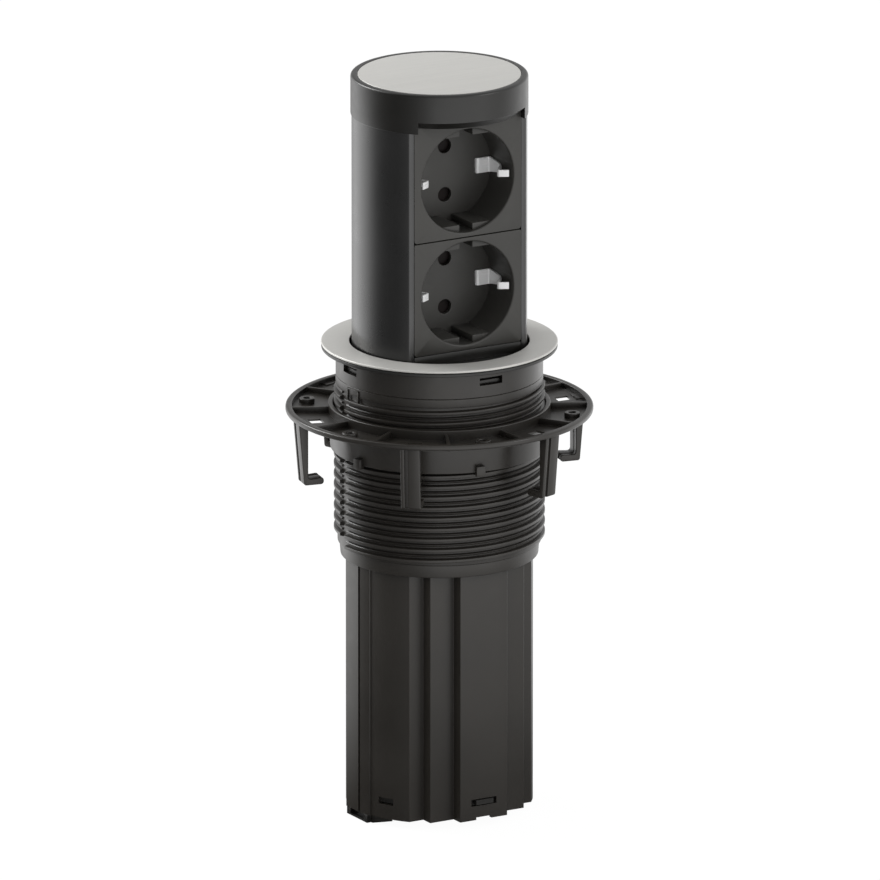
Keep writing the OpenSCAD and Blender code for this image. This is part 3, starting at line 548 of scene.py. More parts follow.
def edge_group():
    """Mask of the edges that handling has polished, where the plastics' base colour is lightened, partly as
    wear and partly as a painted highlight
    """
    tree, source, result = group("edge_wear_highlight", [("Radius", 0.6 * MM), ("Vector", None)],
                                 [("Mask", "NodeSocketFloat")])
    nodes = Nodes(tree)
    soft = nodes.add("Bevel", samples=4)
    nodes.put(soft, "Radius", source.outputs["Radius"])
    bend = nodes.add("VectorMath", operation="DOT_PRODUCT")
    nodes.put(bend, 0, soft.outputs[0])
    nodes.put(bend, 1, nodes.add("NewGeometry").outputs["Normal"])
    broken = nodes.noise(source.outputs["Vector"], 220.0)
    edge = nodes.level(bend.outputs["Value"], 0.99, 0.8, 0.0, 1.0)
    uneven = nodes.level(broken, 0.3, 0.6, 0.35, 1.0)
    nodes.put(result, "Mask", nodes.math("MULTIPLY", edge, uneven))


def crevice_group():
    """Mask of the corners and grooves that little light reaches, where the plastics' base colour is darkened
    as painted shade
    """
    tree, source, result = group("crevice_shade", [("Reach", 4 * MM)], [("Mask", "NodeSocketFloat")])
    nodes = Nodes(tree)
    reached = nodes.add("AmbientOcclusion", samples=8, only_local=True)
    nodes.put(reached, "Distance", source.outputs["Reach"])
    nodes.put(result, "Mask", nodes.level(reached.outputs["AO"], 0.3, 0.95, 1.0, 0.0))


def brush_group():
    """Fine brush lines along X"""
    tree, source, result = group(
        "brush_lines", [("Vector", None), ("Line Width", 0.12 * MM), ("Line Length", 30 * MM)],
        [("Height", "NodeSocketFloat"), ("Tone", "NodeSocketFloat")])
    nodes = Nodes(tree)
    across = nodes.math("DIVIDE", 1.0, source.outputs["Line Width"])
    scale = nodes.add("CombineXYZ")
    nodes.put(scale, "X", nodes.math("DIVIDE", 1.0, source.outputs["Line Length"]))
    nodes.put(scale, "Y", across)
    nodes.put(scale, "Z", across)
    stretched = nodes.add("VectorMath", operation="MULTIPLY")
    nodes.put(stretched, 0, source.outputs["Vector"])
    nodes.put(stretched, 1, scale.outputs[0])
    lines = nodes.noise(stretched.outputs[0], 1.0, 3.0)
    nodes.put(result, "Height", lines)
    nodes.put(result, "Tone", nodes.level(lines, 0.3, 0.7, 0.0, 1.0))


def start_material(name):
    """A new material with its Principled shader and its object coordinates"""
    material = bpy.data.materials.new(name)
    material.use_nodes = True
    nodes = Nodes(material.node_tree)
    shader = material.node_tree.nodes["Principled BSDF"]
    place = nodes.add("TexCoord").outputs["Object"]
    return nodes, shader, place


def use_group(nodes, name, **values):
    """Places a node group in a material"""
    node = nodes.tree.nodes.new("ShaderNodeGroup")
    node.node_tree = bpy.data.node_groups[name]
    for key, value in values.items():
        nodes.put(node, key.replace("_", " ").title(), value)
    return node


def mixed(nodes, mask, first, second):
    """A colour between two colours, chosen by a mask"""
    mix = nodes.add("Mix", data_type="RGBA")
    nodes.put(mix, 0, mask)
    nodes.put(mix, 6, first)
    nodes.put(mix, 7, second)
    return mix.outputs[2]


def relieve(nodes, shader, height, relief, depth):
    """Bends the light on a surface by a fine height"""
    bump = nodes.add("Bump")
    bump.inputs["Strength"].default_value = relief
    bump.inputs["Distance"].default_value = depth
    nodes.put(bump, "Height", height)
    nodes.put(shader, "Normal", bump.outputs[0])


def plastic(name, tint, roughness, grain=0.5, relief=0.25, specular=0.5, cloud=30, metallic=0):
    """Moulded or coated surface: grained, a little cloudy, polished at its edges, where the lighter colour is
    partly a painted highlight, and darkened by painted shade in its crevices; sizes in millimetres
    """
    nodes, shader, place = start_material(name)
    base = srgb(tint)
    grained = use_group(nodes, "mould_grain", vector=place, grain_size=grain * MM, cloud_size=cloud * MM)
    edges = use_group(nodes, "edge_wear_highlight", vector=place)
    corners = use_group(nodes, "crevice_shade", reach=4 * MM)
    deep, light = shade(base, 0.9), shade(base, 1.12)
    painted_shade, wear_and_highlight = shade(base, 0.4), shade(base, 1.35, 0.006)
    open_tone = mixed(nodes, grained.outputs["Tone"], deep, light)
    # Painted shade: the base colour falls to 0.4 of itself in the corners and grooves that little light
    # reaches
    toned = mixed(nodes, corners.outputs["Mask"], open_tone, painted_shade)
    # Partly wear, partly painted highlight: the base colour is lightened along the edges that the edge mask
    # finds
    nodes.put(shader, "Base Color", mixed(nodes, edges.outputs["Mask"], toned, wear_and_highlight))
    rough = nodes.level(grained.outputs["Tone"], 0.0, 1.0, roughness - 0.03, roughness + 0.03)
    rubbed = nodes.math("SUBTRACT", rough, nodes.math("MULTIPLY", grained.outputs["Rub"], 0.05))
    handled = nodes.math("MULTIPLY", edges.outputs["Mask"], 0.1)
    nodes.put(shader, "Roughness", nodes.math("SUBTRACT", rubbed, handled))
    shader.inputs["Specular IOR Level"].default_value = specular
    shader.inputs["Metallic"].default_value = metallic
    relieve(nodes, shader, grained.outputs["Height"], relief, 0.03 * MM)


def metal(name, tint, roughness, line=0.12, run=30, relief=0.12, metallic=1):
    """Brushed or drawn metal, with lines of a width and length in millimetres"""
    nodes, shader, place = start_material(name)
    base = srgb(tint)
    brushed = use_group(nodes, "brush_lines", vector=place, line_width=line * MM, line_length=run * MM)
    cloudy = use_group(nodes, "mould_grain", vector=place, grain_size=0.4 * MM, cloud_size=25 * MM)
    dull, bright = shade(base, 0.92), shade(base, 1.06)
    nodes.put(shader, "Base Color", mixed(nodes, brushed.outputs["Tone"], dull, bright))
    rough = nodes.level(brushed.outputs["Tone"], 0.0, 1.0, roughness - 0.03, roughness + 0.03)
    smudged = nodes.math("MULTIPLY", cloudy.outputs["Rub"], 0.07)
    nodes.put(shader, "Roughness", nodes.math("ADD", rough, smudged))
    shader.inputs["Metallic"].default_value = metallic
    relieve(nodes, shader, brushed.outputs["Height"], relief, 0.02 * MM)


class SOCKET_OT_finishes(bpy.types.Operator):
    """Makes the node groups and the materials of every finish"""
    bl_idname = "desk_socket.finishes"
    bl_label = "Finishes"

    def execute(self, context):
        tint = context.scene.socket_finishes
        grain_group()
        edge_group()
        crevice_group()
        brush_group()
        metal("brushed_steel", tint.steel, 0.48, metallic=0.35)
        metal("drawn_steel", tint.wire_steel, 0.3, line=0.3, run=4)
        metal("brass_sheet", tint.brass, 0.32, line=0.2, run=8)
        metal("nickel_sheet", tint.nickel, 0.4, line=0.15, run=5, relief=0.05, metallic=0.2)
        plastic("moulded_black", tint.black, 0.36, grain=0.3, relief=0.1)
        plastic("moulded_dark", tint.dark, 0.42, grain=0.3, relief=0.12)
        plastic("moulded_cap", tint.cap, 0.36, grain=0.3, relief=0.1)
        plastic("moulded_face", tint.face, 0.48, grain=0.35, relief=0.2)
        plastic("coated_profile", tint.profile, 0.3, grain=0.3, relief=0.08, cloud=60, metallic=0.85)
        plastic("moulded_rubber", tint.rubber, 0.7, grain=0.6, relief=0.4, specular=0.3)
        plastic("moulded_shutter", tint.shutter, 0.6, specular=0.2)
        plastic("moulded_slide", tint.slide, 0.4)
        return {"FINISHED"}


# Pieces


def trim_skirt(bm, end_x):
    """Takes away the cap's skirt in front of the flat face, and closes its two ends"""
    near = 0.01 * MM

    def skirt():
        centres = [(f, f.calc_center_median()) for f in bm.faces]
        return [f for f, centre in centres if centre.z < FACE_TOP - near and centre.y < 0]

    for side in (-1, 1):
        split(bm, skirt(), (side * end_x, 0, 0), (1, 0, 0))
    front = [f for f in skirt() if abs(f.calc_center_median().x) < end_x]
    bmesh.ops.delete(bm, geom=front, context="FACES")
    rim = [e for e in bm.edges if e.is_boundary]
    for side in (-1, 1):
        section = [e for e in rim if all(abs(v.co.x - side * end_x) < near for v in e.verts)]
        ends = [v for v in {v for e in section for v in e.verts} if abs(v.co.z - FACE_TOP) < near]
        bmesh.ops.edgeloop_fill(bm, edges=section + [bm.edges.new(ends)])
    bmesh.ops.edgeloop_fill(bm, edges=[e for e in bm.edges if e.is_boundary])
    bmesh.ops.recalc_face_normals(bm, faces=bm.faces)


def cap_chamfer(height, seat):
    """The slanting edge under the cap, in front of the flat face"""
    radius = CAP_R - seat
    narrow = 1 - height / radius
    turn = math.degrees(math.asin((FACE_Y + seat) / narrow / radius))
    shell = bmesh.new()
    verts = block(shell, [p[:2] for p in arc(radius, 180 + turn, 360 - turn, 60)], FACE_TOP - height,
                  FACE_TOP + seat)
    lower = [v for v in verts if v.co.z < FACE_TOP]
    bmesh.ops.scale(shell, verts=lower, vec=(narrow, narrow, 1))
    return shell


def skirt_cheek(sizes, side, end_x, seat):
    """Fills the corner between the end of the skirt and the flat face"""
    radius = CAP_R - sizes.cap_wall / 2
    near_face = FACE_Y - MM
    first = math.degrees(math.acos(end_x / radius))
    last = math.degrees(math.asin(near_face / radius))
    outline = [(end_x, -near_face)] + [p[:2] for p in arc(radius, -first, -last, 8)]
    shell = bmesh.new()
    block(shell, [(x * side, y) for x, y in outline], PROFILE_TOP + seat, FACE_TOP + seat)
    return shell


class SOCKET_OT_cap(bpy.types.Operator):
    """Builds the cap, whose skirt reaches further down behind the flat face"""
    bl_idname = "desk_socket.cap"
    bl_label = "Cap"

    def execute(self, context):
        sizes = context.scene.socket_column
        seat = 0.15 * MM
        small = sizes.edge
        bm = bmesh.new()
        inner = CAP_R - sizes.cap_wall
        turned(bm, rounded([
            (0, FACE_TOP, 0), (inner, FACE_TOP, 0), (inner, PROFILE_TOP, 0), (CAP_R, PROFILE_TOP, small),
            (CAP_R, FACE_TOP, 0), (CAP_R, LID_Z, sizes.cap_round), (DISC_R + seat, LID_Z, small / 2),
            (DISC_R + seat, DISC_LOW, 0), (0, DISC_LOW, 0)]), closed=False)
        end_x = math.sqrt(COLUMN_R ** 2 - FACE_Y ** 2) - sizes.lip - sizes.plate_gap
        trim_skirt(bm, end_x)
        join(bm, cap_chamfer(sizes.chamfer, seat))
        for side in (-1, 1):
            join(bm, skirt_cheek(sizes, side, end_x + seat, seat / 2))
        piece("cap", bm, "column", "cap_plastic", "top_cap")
        bm = bmesh.new()
        turned(bm, rounded([(0, DISC_LOW, 0), (DISC_R, DISC_LOW, 0), (DISC_R, LID_Z, small), (0, LID_Z, 0)]),
               closed=False)
        piece("lid", bm, "column", "satin_steel", "lid_disc")
        return {"FINISHED"}


class SOCKET_OT_profile(bpy.types.Operator):
    """Builds the column profile with its two lips and its screw channels"""
    bl_idname = "desk_socket.profile"
    bl_label = "Column profile"

    def execute(self, context):
        sizes = context.scene.socket_column
        channel_angles = (20, 65, 115, 160)
        channel_r, channel_hole, channel_back = 3.2 * MM, 1.3 * MM, 3.5 * MM
        small = 0.3 * MM
        inner_r = COLUMN_R - sizes.wall
        inner_y = FACE_Y - sizes.wall
        chord = math.sqrt(COLUMN_R ** 2 - FACE_Y ** 2)
        mouth = chord - sizes.lip
        outer_turn = math.degrees(math.asin(FACE_Y / COLUMN_R))
        inner_turn = math.degrees(math.asin(inner_y / inner_r))
        outer = arc(COLUMN_R, -outer_turn, 180 + outer_turn, 140)
        inner = arc(inner_r, 180 + inner_turn, -inner_turn, 120)
        outer[0] = (*outer[0][:2], sizes.lip_round)
        outer[-1] = (*outer[-1][:2], sizes.lip_round)
        outline = rounded([(mouth, -FACE_Y, small), *outer, (-mouth, -FACE_Y, small),
                           (-mouth, -inner_y, small), *inner, (mouth, -inner_y, small)])
        bm = bmesh.new()
        block(bm, outline, PROFILE_LOW, PROFILE_TOP)
        channel = bmesh.new()
        turned(channel, [(channel_r, PROFILE_LOW), (channel_r, PROFILE_TOP), (channel_hole, PROFILE_TOP),
                         (channel_hole, PROFILE_LOW)], steps=32)
        bmesh.ops.translate(channel, verts=channel.verts, vec=(inner_r - channel_back, 0, 0))
        turned_copies(bm, channel, channel_angles)
        piece("profile", bm, "column", "black_aluminium", "column_profile")
        return {"FINISHED"}


def socket_centre(floor_node):
    """Middle of a socket, on the column's axis"""
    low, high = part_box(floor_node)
    return Vector((0, 0, (low.z + high.z) / 2))


def ring_edges(bm, edges, vec=(0, 0, 0), grow=1.0, centre=ORIGIN):
    """Extrudes a loop of edges, moves it, and widens it round a centre in X and Z"""
    made = bmesh.ops.extrude_edge_only(bm, edges=edges)
    verts = moved(bm, made, vec)
    bmesh.ops.scale(bm, verts=verts, vec=(grow, 1, grow), space=Matrix.Translation(-centre))
    chosen = set(verts)
    pushed = [item for item in made["geom"] if isinstance(item, bmesh.types.BMEdge)]
    return [edge for edge in pushed if set(edge.verts) <= chosen]


def clip_slots(bm, centre, recess_r):
    """Sinks the slots that the earth clip's arms lie in into a recess's wall"""
    slot_half, slot_start, slot_depth = 3.2 * MM, 1.1 * MM, 1.2 * MM
    on_wall = 0.3 * MM
    for side in (-1, 1):
        slot = []
        for face in bm.faces:
            spot = face.calc_center_median() - centre
            wall = abs(math.hypot(spot.x, spot.z) - recess_r) < on_wall
            if wall and spot.x * side > 0 and abs(spot.z) < slot_half and spot.y > slot_start - FACE_Y:
                slot.append(face)
        moved(bm, bmesh.ops.extrude_face_region(bm, geom=slot), (side * slot_depth, 0, 0))


def plate_keys(bm, sizes, centre, recess_r):
    """Adds the flat keys over and under a recess, with a notch in the middle of each"""
    small = 0.3 * MM
    key_r = recess_r + small
    notch = sizes.key_notch / 2
    far = math.degrees(math.asin(sizes.key_level / key_r))
    near = math.degrees(math.acos(notch / key_r))
    corners = rounded([(notch, sizes.key_level, small), *arc(key_r, far, near, 10)])
    for side in (-1, 1):
        for up in (-1, 1):
            outline = [(x * side, y * up) for x, y in corners]
            if side * up < 0:
                outline.reverse()
            shell = bmesh.new()
            facing(shell, outline, sizes.key_setback - FACE_Y, FLOOR_Y, small)
            bmesh.ops.translate(shell, verts=shell.verts, vec=centre)
            join(bm, shell)


def face_plate(name, sizes, node, floor_node):
    """A socket's front plate with its round recess, rounded mouth, keys and clip slots"""
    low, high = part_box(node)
    centre = socket_centre(floor_node)
    half = math.sqrt(COLUMN_R ** 2 - FACE_Y ** 2) - sizes.lip - sizes.plate_gap
    top = min(high.z, FACE_TOP - sizes.top_gap)
    corner_r = 1.2 * MM
    mouth_low = 1.1 * MM
    edge = 0.15 * MM
    recess_r = CUP_R - sizes.cup_wall
    steps = 120
    turns = [math.pi / steps * (2 * i + 1) for i in range(steps)]
    box = [(-half, low.z, corner_r), (half, low.z, corner_r), (half, top, corner_r / 2),
           (-half, top, corner_r / 2)]
    bm = bmesh.new()
    outside = closed_loop(bm, [(x, -FACE_Y, z) for x, z in rounded(box, 5)])[1]
    mouth = closed_loop(bm, [(recess_r * math.cos(turn), -FACE_Y, centre.z + recess_r * math.sin(turn))
                             for turn in turns])[1]
    bmesh.ops.triangle_fill(bm, use_beauty=True, use_dissolve=False, edges=outside + mouth, normal=(0, -1, 0))
    lip = ring_edges(bm, mouth, (0, mouth_low, 0))
    end = ring_edges(bm, lip, (0, FLOOR_Y + FACE_Y - mouth_low, 0))
    rear = ring_edges(bm, end, grow=CUP_R / recess_r, centre=centre)
    neck = ring_edges(bm, rear, (0, sizes.wall - FLOOR_Y - FACE_Y, 0))
    back = ring_edges(bm, outside, (0, sizes.wall, 0))
    bmesh.ops.triangle_fill(bm, use_beauty=True, use_dissolve=False, edges=back + neck, normal=(0, 1, 0))
    bmesh.ops.recalc_face_normals(bm, faces=bm.faces)
    clip_slots(bm, centre, recess_r)
    for rim, width, segments in ((mouth, sizes.mouth_round, 5), (outside, edge, 2)):
        bmesh.ops.bevel(bm, geom=[e for e in rim if e.is_valid], offset=width, offset_type="OFFSET",
                        segments=segments, profile=0.5, affect="EDGES", clamp_overlap=True, material=-1)
    plate_keys(bm, sizes, centre, recess_r)
    return piece(name, bm, "column", "face_plastic", node)


def earth_clip(name, sizes, node, floor_node):
    """A sprung earth strip: it lies on the recess floor, rises along both sides and bulges inwards"""
    centre = socket_centre(floor_node)
    recess_r = CUP_R - sizes.cup_wall
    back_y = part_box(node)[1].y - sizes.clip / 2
    foot_y = FLOOR_Y - sizes.clip / 2
    arm_x = recess_r - 0.7 * MM
    tip_y = 1.6 * MM - FACE_Y
    lean, bulge_behind = 0.5 * MM, 2 * MM
    widening = 1.6
    # X, Y and the bend's radius in millimetres, from the strip's middle to its right tip
    side = [(sizes.strap_x, back_y, 1), (sizes.strap_x, foot_y, 0.8), (arm_x, foot_y, 1),
            (arm_x + lean, (foot_y + tip_y) / 2, 4), (arm_x - sizes.clip_bulge, tip_y + bulge_behind, 0.6),
            (arm_x - lean, tip_y, 0)]
    right = [(x, y, r * MM) for x, y, r in side]
    left = [(-x, y, r) for x, y, r in reversed(right)]
    bm = bmesh.new()
    points = rounded(left + right, 5)
    verts = [bm.verts.new((p[0], p[1], -sizes.clip_root / 2)) for p in points]
    edges = [bm.edges.new(pair) for pair in zip(verts, verts[1:])]
    moved(bm, bmesh.ops.extrude_edge_only(bm, edges=edges), (0, 0, sizes.clip_root))
    for vert in bm.verts:
        rise = max(0, min(1, (foot_y - vert.co.y) / (foot_y - tip_y)))
        vert.co.z *= 1 + (sizes.clip_tip / sizes.clip_root - 1) * min(1, rise * widening)
    bmesh.ops.translate(bm, verts=bm.verts, vec=centre)
    strip = piece(name, bm, "column", "nickel_plate", node)
    wall = strip.modifiers.new("strip_thickness", "SOLIDIFY")
    wall.thickness = sizes.clip
    wall.offset = 0
    wall.use_even_offset = True
    return bevelled(strip, 0.15 * MM)


class SOCKET_OT_sockets(bpy.types.Operator):
    """Builds both socket fronts with their floors and earth clips"""
    bl_idname = "desk_socket.sockets"
    bl_label = "Sockets"

    def execute(self, context):
        sizes = context.scene.socket_column
        for place in ("upper", "lower"):
            floor_node = place + "_socket_floor"
            face_plate(place + "_plate", sizes, place + "_faceplate", floor_node)
            earth_clip(place + "_clip", sizes, place + "_earth_clip", floor_node)
            refined(place + "_floor", floor_node, "column", "face_plastic", 0.3 * MM)
        return {"FINISHED"}


class SOCKET_OT_ring(bpy.types.Operator):
    """Builds the brushed ring and the clip ring that carries it"""
    bl_idname = "desk_socket.ring"
    bl_label = "Ring"

    def execute(self, context):
        sizes = context.scene.socket_flange
        opening = CAP_R + sizes.opening_gap
        small = 0.25 * MM
        bm = bmesh.new()
        turned(bm, rounded([
            (opening, RING_LOW, small / 2), (RING_R, RING_LOW, small), (RING_R, RING_TOP, sizes.ring_round),
            (opening, RING_TOP, small)]), steps=240)
        piece("flange", bm, "housing", "satin_steel", "flange_ring")
        lip_top, shadow_r = RING_LOW - sizes.shadow_gap, LIP_R - sizes.shadow_depth
        play = 0.1 * MM
        collar = CREST_R - sizes.depth + sizes.collar_step
        barrel = CREST_R - sizes.depth - sizes.sleeve_wall - play
        seat = collar + small
        recess = 0.4 * MM
        bm = bmesh.new()
        turned(bm, rounded([
            (opening, SKIRT_LOW, 0), (barrel, SKIRT_LOW, small), (barrel, recess, 0), (seat, recess, 0),
            (seat, 0, 0), (LIP_R, 0, small), (LIP_R, lip_top, small), (shadow_r, lip_top, 0),
            (shadow_r, RING_LOW, 0), (opening, RING_LOW, 0)]), steps=240)
        rounding, root = 0.3 * MM, 0.6 * MM
        above, behind = 1.3 * MM, 1.6 * MM
        nose_low = play - sizes.window_drop - sizes.window
        nose_high = -sizes.window_drop - above
        half = sizes.window_width / 2 - rounding
        nose = slab(-half, half, barrel - root, collar - behind, nose_low, nose_high, rounding)
        turned_copies(bm, nose, (0, 90, 180, 270))
        piece("carrier", bm, "housing", "dark_plastic", "ring_carrier")
        return {"FINISHED"}


def helix_ridge(bm, outline, start, end, pitch, height):
    """One stretch of ridge that climbs with the thread, from a height; angles in degrees"""
    step, fewest = 2.5, 6
    shell = bmesh.new()
    verts, edges = closed_loop(shell, [(r, 0, height + z) for r, z in outline])
    steps = max(fewest, round((end - start) / step))
    climb = pitch * (end - start) / 360 / steps
    bmesh.ops.spin(shell, geom=verts + edges, cent=ORIGIN, axis=UP, dvec=UP * climb,
                   angle=math.radians(end - start), steps=steps, use_merge=False, use_duplicate=False)
    bmesh.ops.holes_fill(shell, edges=[e for e in shell.edges if e.is_boundary], sides=0)
    bmesh.ops.recalc_face_normals(shell, faces=shell.faces)
    turn_round(shell, start)
    join(bm, shell)


def collar_marks(bm, collar, seam):
    """Raises a triangle across the collar's seam and a small frame under it"""
    raised = 0.3 * MM
    mark_heading, frame_heading = 246.6, 184
    mark_half, mark_low, mark_high = 1.1 * MM, -seam - 1.2 * MM, 1.3 * MM - seam
    mark = bmesh.new()
    facing(mark, [(-mark_half, mark_low), (mark_half, mark_low), (0, mark_high)], collar - raised,
           collar + raised, raised / 3)
    turned_copies(bm, mark, [mark_heading + 90])
    half, low, high, bar = 3.7 * MM, -seam - 5.4 * MM, -seam - 0.8 * MM, 0.5 * MM
    for y_low, y_high, z_low in ((-half, bar - half, low), (half - bar, half, low),
                                 (-half, half, high - bar)):
        side = slab(y_low, y_high, collar - 2 * raised, collar + raised, z_low, high, raised / 3)
        turned_copies(bm, side, [frame_heading])


def outside_thread(bm, sizes, root):
    """Winds the coarse ridges, and a finer one between each two, with a groove down one side"""
    lock_angle, front_angle = 173, -120
    turns, fine = 15, 0.6
    small, sunk = 0.3 * MM, 0.4 * MM
    half_gap = math.degrees(sizes.lock_groove / 2 / CREST_R)
    start, end = lock_angle - 360 + half_gap, lock_angle - half_gap
    crest, pitch = sizes.crest, sizes.pitch
    ridge = rounded([(root - sunk, -crest, 0), (root, -crest, 0), (CREST_R, -crest / 2, small / 2),
                     (CREST_R, crest / 2, small / 2), (root, crest, 0), (root - sunk, crest, 0)], 3)
    between = rounded([(root - sunk, -crest * fine, 0), (root, -crest * fine, 0),
                       (root + sizes.depth * fine, 0, small / 2), (root, crest * fine, 0),
                       (root - sunk, crest * fine, 0)], 3)
    for k in range(turns):
        level = -sizes.collar - (k + 0.5) * pitch
        first, last = start, end
        if k == 0:
            last = front_angle + 360 * (-sizes.collar - crest - level) / pitch
        if k == turns - 1:
            first = max(start, front_angle + 360 * (SLEEVE_LOW + crest - level) / pitch)
        helix_ridge(bm, ridge, first, last, pitch, level + pitch * (first - front_angle) / 360)
        if k < turns - 1:
            fine_level = level + pitch * (start - front_angle) / 360 - pitch / 2
            helix_ridge(bm, between, start, end, pitch, fine_level)


class SOCKET_OT_sleeve(bpy.types.Operator):
    """Builds the sleeve: a collar with four windows over a coarse climbing thread"""
    bl_idname = "desk_socket.sleeve"
    bl_label = "Threaded sleeve"

    def execute(self, context):
        sizes = context.scene.socket_flange
        root = CREST_R - sizes.depth
        collar = root + sizes.collar_step
        bore = root - sizes.sleeve_wall
        small = 0.3 * MM
        seam, seam_half, seam_depth = 10.2 * MM, 0.2 * MM, 0.25 * MM
        bm = bmesh.new()
        turned(bm, rounded([
            (bore, SLEEVE_TOP, 0), (collar, SLEEVE_TOP, small), (collar, seam_half - seam, 0),
            (collar - seam_depth, -seam, 0), (collar, -seam - seam_half, 0), (collar, -sizes.collar, small),
            (root, -sizes.collar, 0), (root, SLEEVE_LOW, small), (bore, SLEEVE_LOW, 0)]), steps=152)
        for angle in (0, 90, 180, 270):
            rims = open_window(bm, angle, sizes.window_width, -sizes.window_drop - sizes.window,
                               -sizes.window_drop, bore / 2)
            bmesh.ops.bridge_loops(bm, edges=rims)
        collar_marks(bm, collar, seam)
        outside_thread(bm, sizes, root)
        piece("sleeve", bm, "housing", "black_plastic", "threaded_sleeve")
        return {"FINISHED"}


def step_corner(sizes, half, inset):
    """Corner of a step in the case's front: half the step's width, and how far forward it lies"""
    corner_room = 0.2 * MM
    corner = COLUMN_R + GUIDE_GAP + sizes.wall - corner_room
    return half - inset, math.sqrt(corner ** 2 - half ** 2) - inset


def case_outline(sizes, inset=0.0, edge=0.0):
    """Plan of the case: a round back, a front in three steps and a grooved pad at each side"""
    barrel = COLUMN_R + GUIDE_GAP + sizes.wall - inset
    rib, rib_y = step_corner(sizes, sizes.rib, inset)
    step, step_y = step_corner(sizes, sizes.step, inset)
    pad, front, reach = sizes.pad - inset, sizes.front - inset, sizes.pad_reach - inset
    side_y = -math.sqrt(barrel ** 2 - front ** 2)
    side_turn = math.degrees(math.atan2(-front, -side_y))
    pad_turn = math.degrees(math.asin(pad / barrel))
    groove, depth = sizes.groove, sizes.groove_depth
    grooved = [(reach, -2 * groove, 0), (reach - depth, -2 * groove, 0), (reach - depth, -groove, 0),
               (reach, -groove, 0)]
    half = [(rib, -rib_y, edge), (rib, -step_y, edge / 3), (step, -step_y, edge), (step, -front, edge / 3)]
    half += arc(barrel, side_turn, -pad_turn, 12)
    half.append((reach - sizes.pad_slant, -pad, edge))
    if not inset:
        half += grooved
    half.append((reach, pad, edge))
    half += arc(barrel, pad_turn, 90, 32)
    mirrored = [(-x, y, r) for x, y, r in reversed(half[:-1])]
    return rounded(half + mirrored, 4)


def case_shelf(sizes, barrel, level):
    """The shelf that closes the case's corners under its band"""
    shell = bmesh.new()
    rims = []
    for points in (case_outline(sizes, sizes.wall), arc(barrel, 0, 360, 120)[:-1]):
        rims += closed_loop(shell, [(p[0], p[1], level) for p in points])[1]
    bmesh.ops.triangle_fill(shell, use_beauty=True, use_dissolve=False, edges=rims, normal=(0, 0, -1))
    moved(shell, bmesh.ops.extrude_face_region(shell, geom=shell.faces[:]), (0, 0, sizes.wall))
    return shell


class SOCKET_OT_case(bpy.types.Operator):
    """Builds the long lower case with its stepped front, side pads, band and base windows"""
    bl_idname = "desk_socket.case"
    bl_label = "Lower case"

    def execute(self, context):
        sizes = context.scene.socket_case
        band_low = SLEEVE_LOW - sizes.band
        taper = 0.4 * MM
        side_windows = (25, 155, 205, 335)
        guide = COLUMN_R + GUIDE_GAP
        barrel = guide + sizes.wall
        bm = bmesh.new()
        rim = closed_loop(bm, [(x, y, CASE_LOW) for x, y in case_outline(sizes, 0.0, sizes.edge)])[1]
        moved(bm, bmesh.ops.extrude_edge_only(bm, edges=rim), (0, 0, band_low + taper - CASE_LOW))
        bmesh.ops.recalc_face_normals(bm, faces=bm.faces)
        low = CASE_LOW + sizes.window_rise
        high = low + sizes.window_height
        front = 270
        for angle in side_windows:
            open_window(bm, angle, sizes.window_width, low, high, barrel / 2)
        open_window(bm, front, sizes.front_window, low, high, barrel / 2)
        open_window(bm, front, sizes.notch, CASE_LOW - MM, CASE_LOW + MM, barrel / 2)
        at_back = next(f for f in bm.faces if f.calc_center_median().y > 0.9 * barrel)
        if at_back.normal.y < 0:
            bmesh.ops.reverse_faces(bm, faces=bm.faces)
        bmesh.ops.solidify(bm, geom=bm.faces[:], thickness=sizes.wall)
        join(bm, case_shelf(sizes, barrel, band_low))
        band = bmesh.new()
        turned(band, rounded([
            (guide, CASE_TOP, 0), (guide, band_low, 0), (BAND_R - taper, band_low, sizes.edge),
            (BAND_R, SLEEVE_LOW, sizes.edge), (barrel, SLEEVE_LOW, 0), (barrel, CASE_TOP, sizes.edge)]))
        join(bm, band)
        bevelled(piece("case", bm, "housing", "black_plastic", "guide_housing"), 0.3 * MM)
        return {"FINISHED"}


class SOCKET_OT_base(bpy.types.Operator):
    """Builds the base, whose lower side slants up towards the front"""
    bl_idname = "desk_socket.base"
    bl_label = "Base"

    def execute(self, context):
        start = Vector((0, -8.5 * MM, CAD_BOUNDS[0][2]))
        underside = Vector((0, -0.26, -0.97))
        bm = clean_copy("base_cap")
        bmesh.ops.bisect_plane(bm, geom=bm.verts[:] + bm.edges[:] + bm.faces[:], dist=0.001 * MM,
                               plane_co=start, plane_no=underside, clear_outer=True)
        bmesh.ops.holes_fill(bm, edges=[e for e in bm.edges if e.is_boundary], sides=0)
        bevelled(piece("base", bm, "housing", "dark_plastic", "base_cap"), 0.25 * MM)
        return {"FINISHED"}


def clamp_hook(sizes, rim_low):
    """A hook that hangs from the rim, with a shallow channel down one half"""
    outer = RIM_R - sizes.hook_inset
    inner = outer - sizes.hook_root
    tip, end = inner - sizes.hook_reach, inner + sizes.hook_end
    top = rim_low + 0.6 * MM
    half = sizes.hook / 2
    channel_low, channel_high, channel_depth = 1.5 * MM - half, 2.8 * MM - half, 0.7 * MM
    overlap, rise, bend, edge = 0.5 * MM, 0.5 * MM, 1.2 * MM, 0.35 * MM
    shell = bmesh.new()
    for low, high, sunk in ((-half, channel_low, 0),
                            (channel_low - overlap, channel_high + overlap, channel_depth),
                            (channel_high, half, 0)):
        foot, heel = HOOK_LOW + sunk / 4, HOOK_LOW + sizes.hook_foot
        profile = rounded([
            (inner + sunk / 4, top, 0), (inner + sunk / 4, heel - sunk / 4, bend),
            (tip + sunk, heel + rise - sunk / 2, bend), (tip + sunk, foot, bend), (end - sunk, foot, MM),
            (outer - sunk, top, 0)], 5)
        facing(shell, profile, low, high, edge, 3)
    return shell


